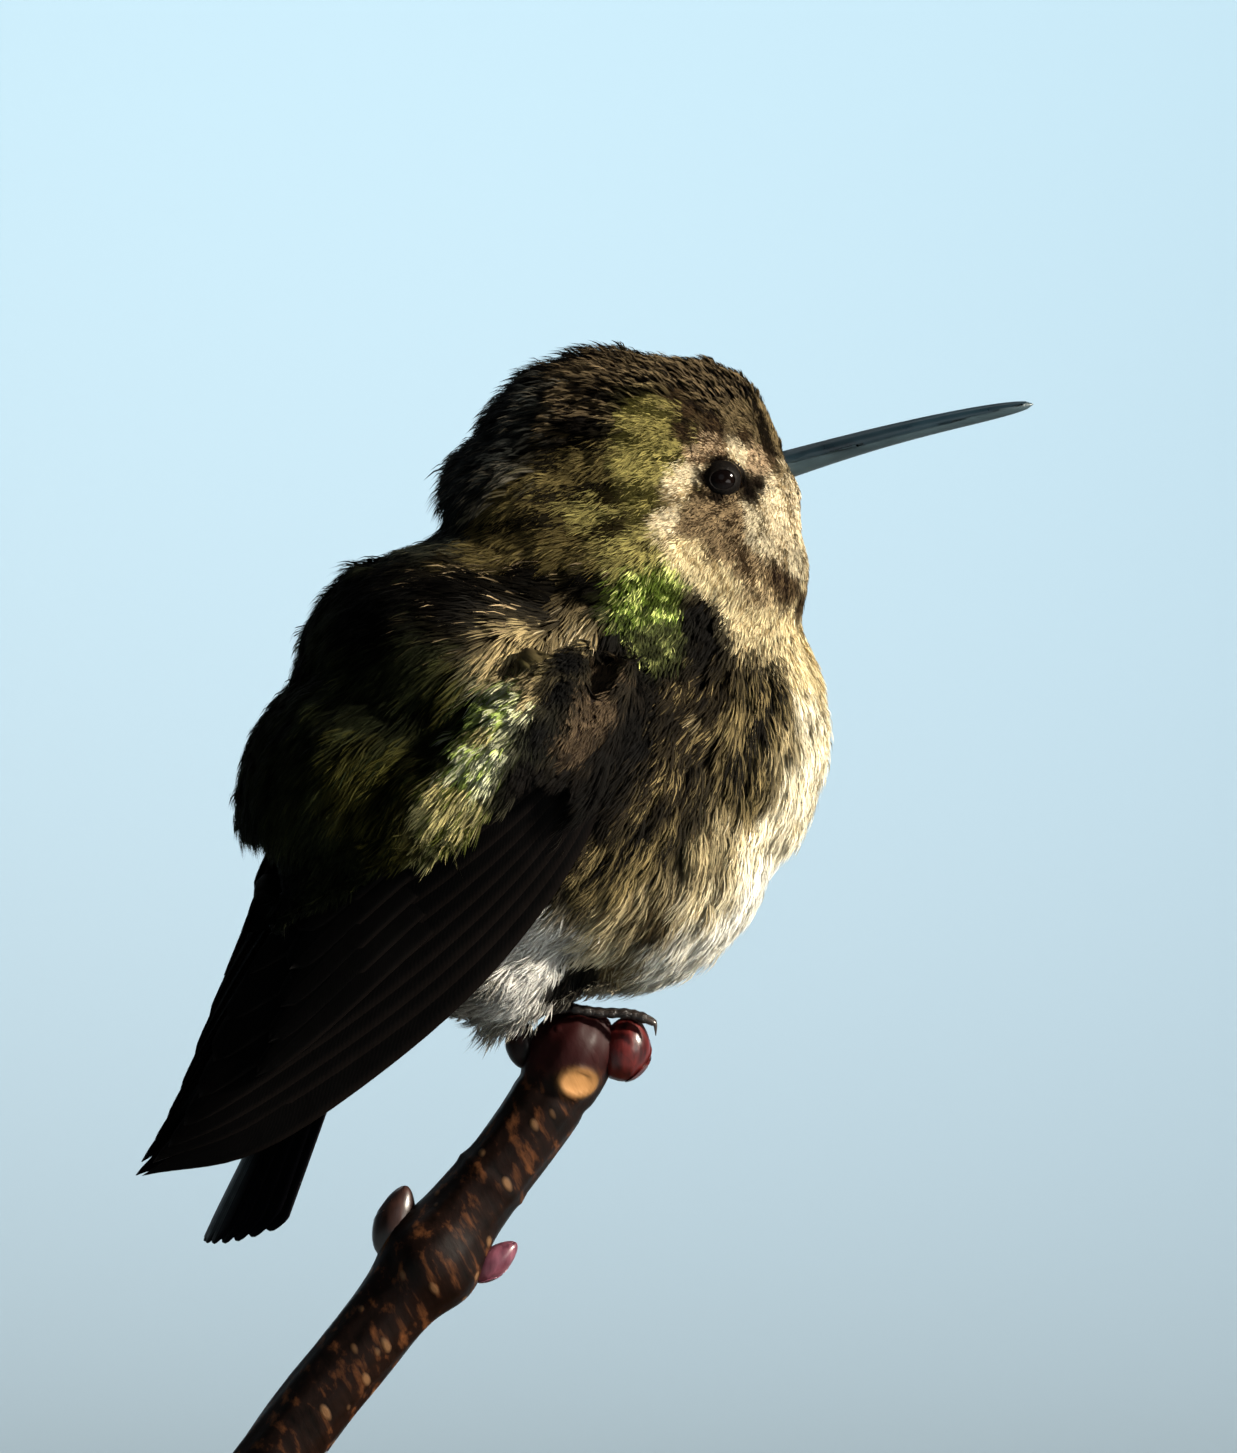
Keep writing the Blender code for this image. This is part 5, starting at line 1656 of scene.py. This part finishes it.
def joinToSkin():  # lids, legs and feet become part of the one skin
    extra = [*lids, feet]
    for obj in extra:
        if "tint" not in obj.data.attributes:
            setTint(
                obj, np.tile(paint(50, 40, 36), (len(obj.data.vertices), 1)),
                np.zeros(len(obj.data.vertices))
            )
    for obj, low, high in zip(extra, (0.62, 0.82, 0.0), (0.8, 1.0, 0.6)):
        for old in list(obj.data.uv_layers):
            obj.data.uv_layers.remove(old)
        obj.data.uv_layers.new(name="OFBake")
        editMesh(obj)
        bpy.ops.uv.smart_project(angle_limit=math.radians(70), island_margin=0.01)
        leaveEdit()
        flat = np.empty(len(obj.data.loops) * 2, np.float32)
        obj.data.uv_layers["OFBake"].data.foreach_get("uv", flat)
        setUv(obj, "OFBake", flat.reshape(-1, 2) * np.array([0.09, high - low]) + np.array([0.908, low]))
    replacedNodes = list(skin["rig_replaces"]) + ["foot_left", "foot_right", "leg_left", "leg_right"]
    whole = joinAll([skin, *extra], "skin")
    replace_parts(whole, *replacedNodes)
    selectOnly(whole)
    whole.data.uv_layers.active = whole.data.uv_layers["OFBake"]
    bpy.ops.object.mode_set(mode="EDIT")
    bpy.ops.mesh.select_all(action="SELECT")
    bpy.ops.uv.select_all(action="SELECT")
    bpy.ops.object.mode_set(mode="OBJECT")
    return whole


skin = joinToSkin()


twigSettings = dict(
    line=(
        (-22.6, 11.8, 2.85), (-18.1, 18.0, 2.85), (-12.4, 25.2, 2.95), (-9.7, 28.5, 3.9),
        (-7.3, 31.8, 3.05), (-4.2, 35.8, 2.75), (-1.5, 39.6, 2.8), (0.2, 42.5, 3.1), (1.1, 44.7, 3.2),
        (1.55, 46.3, 2.5), (1.64, 46.9, 1.75), (1.7, 47.2, 0.6)
    ),
    scar=(1.35, 41.9),
    buds={
        "perch_bud_end": ((4.9, 44.4), 2.15, 2.6, 12),
        "perch_bud_back": ((-2.9, 44.9), 1.3, 2.1, -12),
        "perch_bud_left": ((-12.4, 31.4), 1.6, 2.9, 18),
        "perch_bud_right": ((-4.9, 28.4), 1.2, 2.2, 50),
    },
)


def barkMaterial():
    material, tree, shader = newMaterial(
        "youngBark", {"IOR": 1.48, "Specular IOR Level": 0.15, "Coat Weight": 0.03, "Coat Roughness": 0.35}
    )
    place = objectPlace(tree)
    turn = (0, math.radians(-36), -turnAngle)
    straight = addNode(
        tree, "ShaderNodeMapping", {"Vector": place, "Rotation": turn}, vector_type="TEXTURE"
    ).outputs[0]
    streaks = noise(tree, stretched(tree, straight, (1, 1, 0.12)), 900.0, 5.0, 0.6)
    pores = stretched(tree, straight, (1, 1, 0.45))
    lenticels = addNode(tree, "ShaderNodeTexVoronoi", {"Vector": pores, "Scale": 520.0, "Randomness": 1.0})
    pore = remap(tree, lenticels.outputs[0], 0.1, 0.2, 1.0, 0.0)
    stops = ((0.3, paint(8, 4, 2)), (0.54, paint(25, 12, 7)), (0.76, paint(112, 68, 38)))
    tone = mottled(tree, rampNode(tree, streaks, stops), place, 130.0, 1500.0, 0.35)[0]
    tone = mixColour(tree, mathNode(tree, "MULTIPLY", pore, 0.5), tone, paint(150, 112, 78))
    height = addNode(tree, "ShaderNodeSeparateXYZ", {0: place}).outputs[2]
    endBloom = remap(tree, plus(tree, height, streaks, 0.003), 0.0432, 0.0452)
    tone = mixColour(tree, endBloom, tone, paint(42, 13, 13))
    scar = addNode(tree, "ShaderNodeAttribute", attribute_name="scar").outputs["Fac"]
    tone = mixColour(tree, scar, tone, paint(170, 124, 76))
    feed(tree, shader, {"Base Color": tone, "Roughness": remap(tree, streaks, 0.3, 0.7, 0.42, 0.6)})
    bumpInto(tree, shader, plus(tree, streaks, pore, 0.8), 0.45, 0.00015)
    return material


def budMaterial(name, dark, bright, shine=1.0):
    material, tree, shader = newMaterial(
        name,
        {"IOR": 1.5, "Specular IOR Level": 0.5 * shine, "Coat Weight": 0.2 * shine, "Coat Roughness": 0.22}
    )
    lines = noise(tree, stretched(tree, objectPlace(tree), (1, 1, 0.25)), 1500.0, 4.0)
    tone = rampNode(tree, lines, ((0.3, dark), (0.72, bright)))
    feed(tree, shader, {"Base Color": tone, "Roughness": remap(tree, lines, 0.3, 0.7, 0.28, 0.42)})
    bumpInto(tree, shader, lines, 0.35, 0.0001)
    return material


def makeTwig():
    t = np.linspace(0, 1, 130)
    rows = through(twigSettings["line"], t)
    points = [turned(a, 0, u) for a, u, _ in rows]
    twig = tubeAlong("twig_bark", points, rows[:, 2], 56)
    co = coordinates(twig.data)
    normals = vertexNormals(twig.data)
    # shallow ridges along the stem and rings below the buds
    tangent = unit(np.gradient(np.array(points), axis=0))
    nearest = np.array([np.argmin(((np.array(points) - p) ** 2).sum(1)) for p in co])
    spoke = co - np.array(points)[nearest]
    angle = np.arctan2(spoke @ sideAxis, (spoke * np.cross(sideAxis, tangent[nearest])).sum(1))
    up = rows[nearest, 1]
    ridge = 0.06 * np.sin(angle * 5 + up * 0.35) + 0.04 * np.sin(angle * 11 - up * 0.8)
    ring = 0.16 * np.exp(-(((up - 34.6) / 0.35) ** 2)) - 0.14 * np.exp(-(((up - 41.0) / 0.4) ** 2))
    side = np.linalg.norm(spoke, axis=1) > 1.0
    co = co + normals * ((ridge + ring) * side)[:, None]
    # the leaf scar: a raised rim round a flat oval on the near side
    scarAt = turned(twigSettings["scar"][0], -2.7, twigSettings["scar"][1])
    rel = co - scarAt
    oval = np.sqrt(
        ((rel @ alongAxis) / 1.35) ** 2 + ((rel @ upAxis) / 1.0) ** 2 + ((rel @ sideAxis) / 2.2) ** 2
    )
    rim = np.exp(-(((oval - 1) / 0.22) ** 2))
    inside = 1 / (1 + np.exp((oval - 0.92) / 0.07))
    co = co + normals * (0.22 * rim - 0.1 * inside)[:, None]
    setCoordinates(twig.data, co)
    mark = twig.data.attributes.new("scar", "FLOAT", "POINT")
    mark.data.foreach_set("value", np.clip(inside + 0.35 * rim, 0, 1).astype(np.float32))
    return twig


def makeBud(name, settings):
    (along, up), halfWidth, halfLength, lean = settings
    centre = turned(along, 0, up)
    scales = []
    deselectAll()
    bpy.ops.mesh.primitive_uv_sphere_add(segments=32, ring_count=24, radius=mm, location=(0, 0, 0))
    core = bpy.context.object
    co = coordinates(core.data)
    co *= np.array([halfWidth * 0.88, halfWidth * 0.88, halfLength * 0.97])
    co[:, :2] *= (1 - 0.25 * np.clip(co[:, 2:3] / halfLength, 0, 1) ** 2)
    setCoordinates(core.data, co)
    scales.append(core)
    for i in range(6):  # overlapping bud scales, lower ones shorter
        a, b = np.meshgrid(np.linspace(0, 1, 12), np.linspace(-1, 1, 11), indexing="ij")
        start = -0.95 + 0.18 * (i // 2)
        end = (0.1, 0.2, 0.55, 0.62, 0.93, 0.97)[i]
        z = start + (end - start) * a * (1 - 0.22 * b**2)
        halfAngle = (1.35 - 0.1 * (i // 2)) * np.sqrt(np.clip(1 - a**3.2, 0, 1)) + 0.03
        angle = i * math.pi / 2 * 1.05 + (i % 2) * math.pi / 2 + b * halfAngle
        r = np.sqrt(np.clip(1 - z**2, 0, 1)) * (1 - 0.25 * np.clip(z, 0, 1) ** 2)
        grow = 0.985 - 0.045 * (i // 2)
        outer = np.stack(
            [np.cos(angle) * r * halfWidth * grow, np.sin(angle) * r * halfWidth * grow, z * halfLength], -1
        )
        inner = outer * np.array([0.9, 0.9, 0.995])
        points = np.concatenate([outer.reshape(-1, 3), inner.reshape(-1, 3)])
        n, wide = a.size, 11
        quads = []
        for p in range(11):
            for q in range(10):
                k = p * wide + q
                quads += [
                    [k, k + 1, k + wide + 1, k + wide], [n + k, n + k + wide, n + k + wide + 1, n + k + 1]
                ]
        rim = [(j + 1, j) for j in range(10)] + [(11 * wide + j, 11 * wide + j + 1) for j in range(10)]
        rim += [(p * wide, (p + 1) * wide) for p in range(11)] + [
            ((p + 1) * wide + 10, p * wide + 10) for p in range(11)
        ]
        quads += [[p, q, n + q, n + p] for p, q in rim]
        scale, _ = meshFrom("budScale", points, [np.array(quads)])
        tidyNormals(scale)
        scales.append(scale)
    bud = joinAll(scales, name.replace("perch_", "") + "_scales")
    leaning = Matrix.Rotation(turnAngle, 4, "Z") @ Matrix.Rotation(math.radians(lean), 4, "Y")
    bud.data.transform(
        Matrix.Translation(Vector(centre * mm)) @ leaning @ Matrix.Rotation(math.radians(40), 4, "Z")
    )
    return bud


print("twig")
twig = makeTwig()
finishPiece(twig, barkMaterial(), ["perch_twig"])
budRed = budMaterial("budRed", paint(38, 9, 11), paint(106, 30, 27))
budBlack = budMaterial("budBlack", paint(12, 7, 7), paint(36, 21, 19), 0.3)
budDark = budMaterial("budDark", paint(30, 20, 18), paint(64, 40, 34))
budPink = budMaterial("budPink", paint(74, 34, 48), paint(140, 82, 98))
budMaterials = {
    "perch_bud_end": budRed, "perch_bud_back": budBlack, "perch_bud_left": budDark,
    "perch_bud_right": budPink
}
for name, settings in twigSettings["buds"].items():
    finishPiece(makeBud(name, settings), budMaterials[name], [name], smoothAngle=50)


standSettings = dict(radius=30.0, height=6.0, rodRadius=1.1, rodAlong=-18.6, rodFoot=6.3, rodTop=17.4)


def woodMaterial():
    material, tree, shader = newMaterial(
        "oiledWood", {"IOR": 1.5, "Specular IOR Level": 0.12, "Coat Weight": 0.0, "Coat Roughness": 0.5}
    )
    laying = {"Location": (0.09, 0.02, 0.0), "Rotation": (0.05, 0.03, 0.5), "Scale": (0.25, 1, 1)}
    laid = addNode(tree, "ShaderNodeMapping", {"Vector": objectPlace(tree), **laying}).outputs[0]
    waving = {"Vector": laid, "Scale": 55.0, "Distortion": 5.0, "Detail": 3.0, "Detail Scale": 1.6}
    rings = addNode(tree, "ShaderNodeTexWave", waving, bands_direction="Y").outputs["Fac"]
    pores = noise(tree, stretched(tree, laid, (0.16, 1, 1)), 1700.0, 3.0)
    mixed = plus(tree, mathNode(tree, "MULTIPLY", rings, 0.6), noise(tree, laid, 60.0, 3.0), 0.4)
    stops = ((0.2, paint(58, 34, 22)), (0.55, paint(92, 58, 38)), (0.85, paint(126, 84, 56)))
    tone = rampNode(tree, mixed, stops)
    tone = mixColour(tree, remap(tree, pores, 0.55, 0.7, 0.0, 0.6), tone, paint(36, 20, 13))
    feed(tree, shader, {"Base Color": tone, "Roughness": remap(tree, pores, 0.3, 0.7, 0.6, 0.75)})
    bumpInto(tree, shader, pores, 0.25, 0.0001)
    return material


def steelMaterial():
    material, tree, shader = newMaterial("brushedSteel", {"Metallic": 1.0, "Anisotropic": 0.5})
    lines = noise(tree, stretched(tree, objectPlace(tree), (1, 1, 14)), 700.0, 4.0)
    tone = rampNode(tree, lines, ((0.3, (0.42, 0.42, 0.43)), (0.7, (0.62, 0.62, 0.63))))
    feed(tree, shader, {"Base Color": tone, "Roughness": remap(tree, lines, 0.3, 0.7, 0.24, 0.38)})
    bumpInto(tree, shader, lines, 0.15, 0.00005)
    return material


def makeStand():
    s = standSettings
    deselectAll()
    bpy.ops.mesh.primitive_cylinder_add(
        vertices=160, radius=s["radius"] * mm, depth=s["height"] * mm, location=(0, 0, s["height"] / 2 * mm)
    )
    base = bpy.context.object
    base.name = "stand_plinth"
    applyPlace(base)
    editMesh(base, selectAll=False)
    bpy.ops.mesh.select_mode(type="FACE")
    bm = bmesh.from_edit_mesh(base.data)
    for face in bm.faces:
        face.select = face.normal.z > 0.9
    bm.select_flush(True)
    bpy.ops.mesh.inset(thickness=2.2 * mm, depth=0)
    bpy.ops.mesh.inset(thickness=0.5 * mm, depth=-0.35 * mm)
    bpy.ops.mesh.inset(thickness=0.5 * mm, depth=0.35 * mm)
    bpy.ops.mesh.select_all(action="DESELECT")
    bm = bmesh.from_edit_mesh(base.data)
    for face in bm.faces:
        face.select = face.normal.z < -0.9
    bm.select_flush(True)
    bpy.ops.mesh.inset(thickness=1.5 * mm, depth=0)
    leaveEdit()
    rounding = base.modifiers.new("rounding", "BEVEL")
    rounding.width = 0.85 * mm
    rounding.segments = 4
    rounding.limit_method = "ANGLE"
    rounding.angle_limit = math.radians(60)
    applyModifiers(base)
    finishPiece(base, woodMaterial(), ["stand_base"], smoothAngle=30)
    spot = turned(s["rodAlong"], 0, 0)
    close = [s["rodFoot"], 6.31, 6.7, 7.0, 7.3, 7.31]  # rings close together at the foot
    heights = np.concatenate([close, np.linspace(7.5, s["rodTop"], 12)])
    radii = np.full(len(heights), s["rodRadius"])
    rod = tubeAlong("stand_pin", [spot + upAxis * z for z in heights], radii, 40)
    finishPiece(rod, steelMaterial(), ["stand_rod"], smoothAngle=40)


print("stand")
makeStand()


stageSettings = dict(
    wallDistance=620, curveRadius=420, top=185, width=4200, high=paint(141, 161, 170),
    low=paint(142, 157, 166),
    framed=(93.0, 109.25), centre=(4.4, 68.6), distance=1000.0,
)


def makeStage():
    s = stageSettings
    steps = []
    for d in np.linspace(-1600, s["wallDistance"] - s["curveRadius"], 6):
        steps.append((d, 0.0))
    topAngle = math.acos(1 - s["top"] / s["curveRadius"])  # low enough to look over from behind
    for angle in np.linspace(0, topAngle, 24)[1:]:
        d = s["wallDistance"] - s["curveRadius"] * (1 - math.sin(angle))
        steps.append((d, s["curveRadius"] * (1 - math.cos(angle))))
    points = np.array(
        [sideAxis * d + alongAxis * x * s["width"] / 2 + upAxis * z for d, z in steps for x in (-1, 1)]
    )
    quads = np.array([[2 * i, 2 * i + 1, 2 * i + 3, 2 * i + 2] for i in range(len(steps) - 1)])
    sweep, _ = meshFrom("floorSweep", points, [quads])
    material, tree, shader = newMaterial("paleSweep", {"Roughness": 0.9, "Specular IOR Level": 0.1})
    parts = addNode(tree, "ShaderNodeSeparateXYZ", {0: objectPlace(tree)})
    tone = mixColour(tree, remap(tree, parts.outputs[2], 0.0, 0.14), s["low"], s["high"])
    feed(tree, shader, {"Base Color": tone})
    sweep.data.materials.append(material)
    return sweep


# each light: place and aim as along, side and up in mm, size in mm, power, colour and spread in degrees;
# the narrow spreads keep the bird's light off the floor, and the backdrop's off the bird and the plinth
lightSettings = dict(
    keyLight=((640, -270, 366), (0, 0, 66), 80, 1.49, (1.0, 0.92, 0.78), 60),
    fillLight=((100, -900, 366), (0, 0, 66), 500, 0.36, (0.9, 0.95, 1.0), 180),
    rimLight=((-250, 380, 586), (0, 0, 66), 260, 0.4, (0.9, 0.96, 1.0), 180),
    bounceLight=((300, -300, 8), (6, 0, 54), 200, 0.54, (1.0, 0.95, 0.88), 180),
    wallLight=((0, 250, 700), (0, 600, 60), 500, 2.54, (0.96, 0.99, 1.0), 80),
)


def addLight(name, place, aim, size, power, colour, spread):
    light = bpy.data.lights.new(name, "AREA")
    light.shape = "DISK"
    light.size = size * mm
    light.energy = power
    light.color = colour
    light.spread = math.radians(spread)
    obj = bpy.data.objects.new(name, light)
    bpy.context.scene.collection.objects.link(obj)
    obj.location = Vector(turned(*place) * mm)
    obj.rotation_euler = (Vector(turned(*aim) * mm) - obj.location).to_track_quat("-Z", "Y").to_euler()


def makeLights():
    for name, values in lightSettings.items():
        addLight(name, *values)
    world = bpy.data.worlds.new("studio")
    bpy.context.scene.world = world
    world.use_nodes = True
    background = world.node_tree.nodes["Background"]
    background.inputs[0].default_value = (0.72, 0.84, 0.95, 1)
    background.inputs[1].default_value = 0.065
    bpy.context.scene.view_settings.view_transform = "Standard"
    bpy.context.scene.view_settings.look = "None"


def makeCamera():
    s = stageSettings
    camera = bpy.data.cameras.new("camera")
    obj = bpy.data.objects.new("camera", camera)
    bpy.context.scene.collection.objects.link(obj)
    target = turned(s["centre"][0], 0, s["centre"][1])
    obj.location = Vector((target - sideAxis * s["distance"]) * mm)
    obj.rotation_euler = Vector(sideAxis).to_track_quat("-Z", "Y").to_euler()
    camera.sensor_fit = "AUTO"
    camera.sensor_width = 36
    camera.lens = 36 * s["distance"] / s["framed"][1]
    camera.clip_start = 0.01
    camera.clip_end = 20
    camera.dof.use_dof = False
    bpy.context.scene.camera = obj


print("stage")
makeStage()
makeLights()
makeCamera()
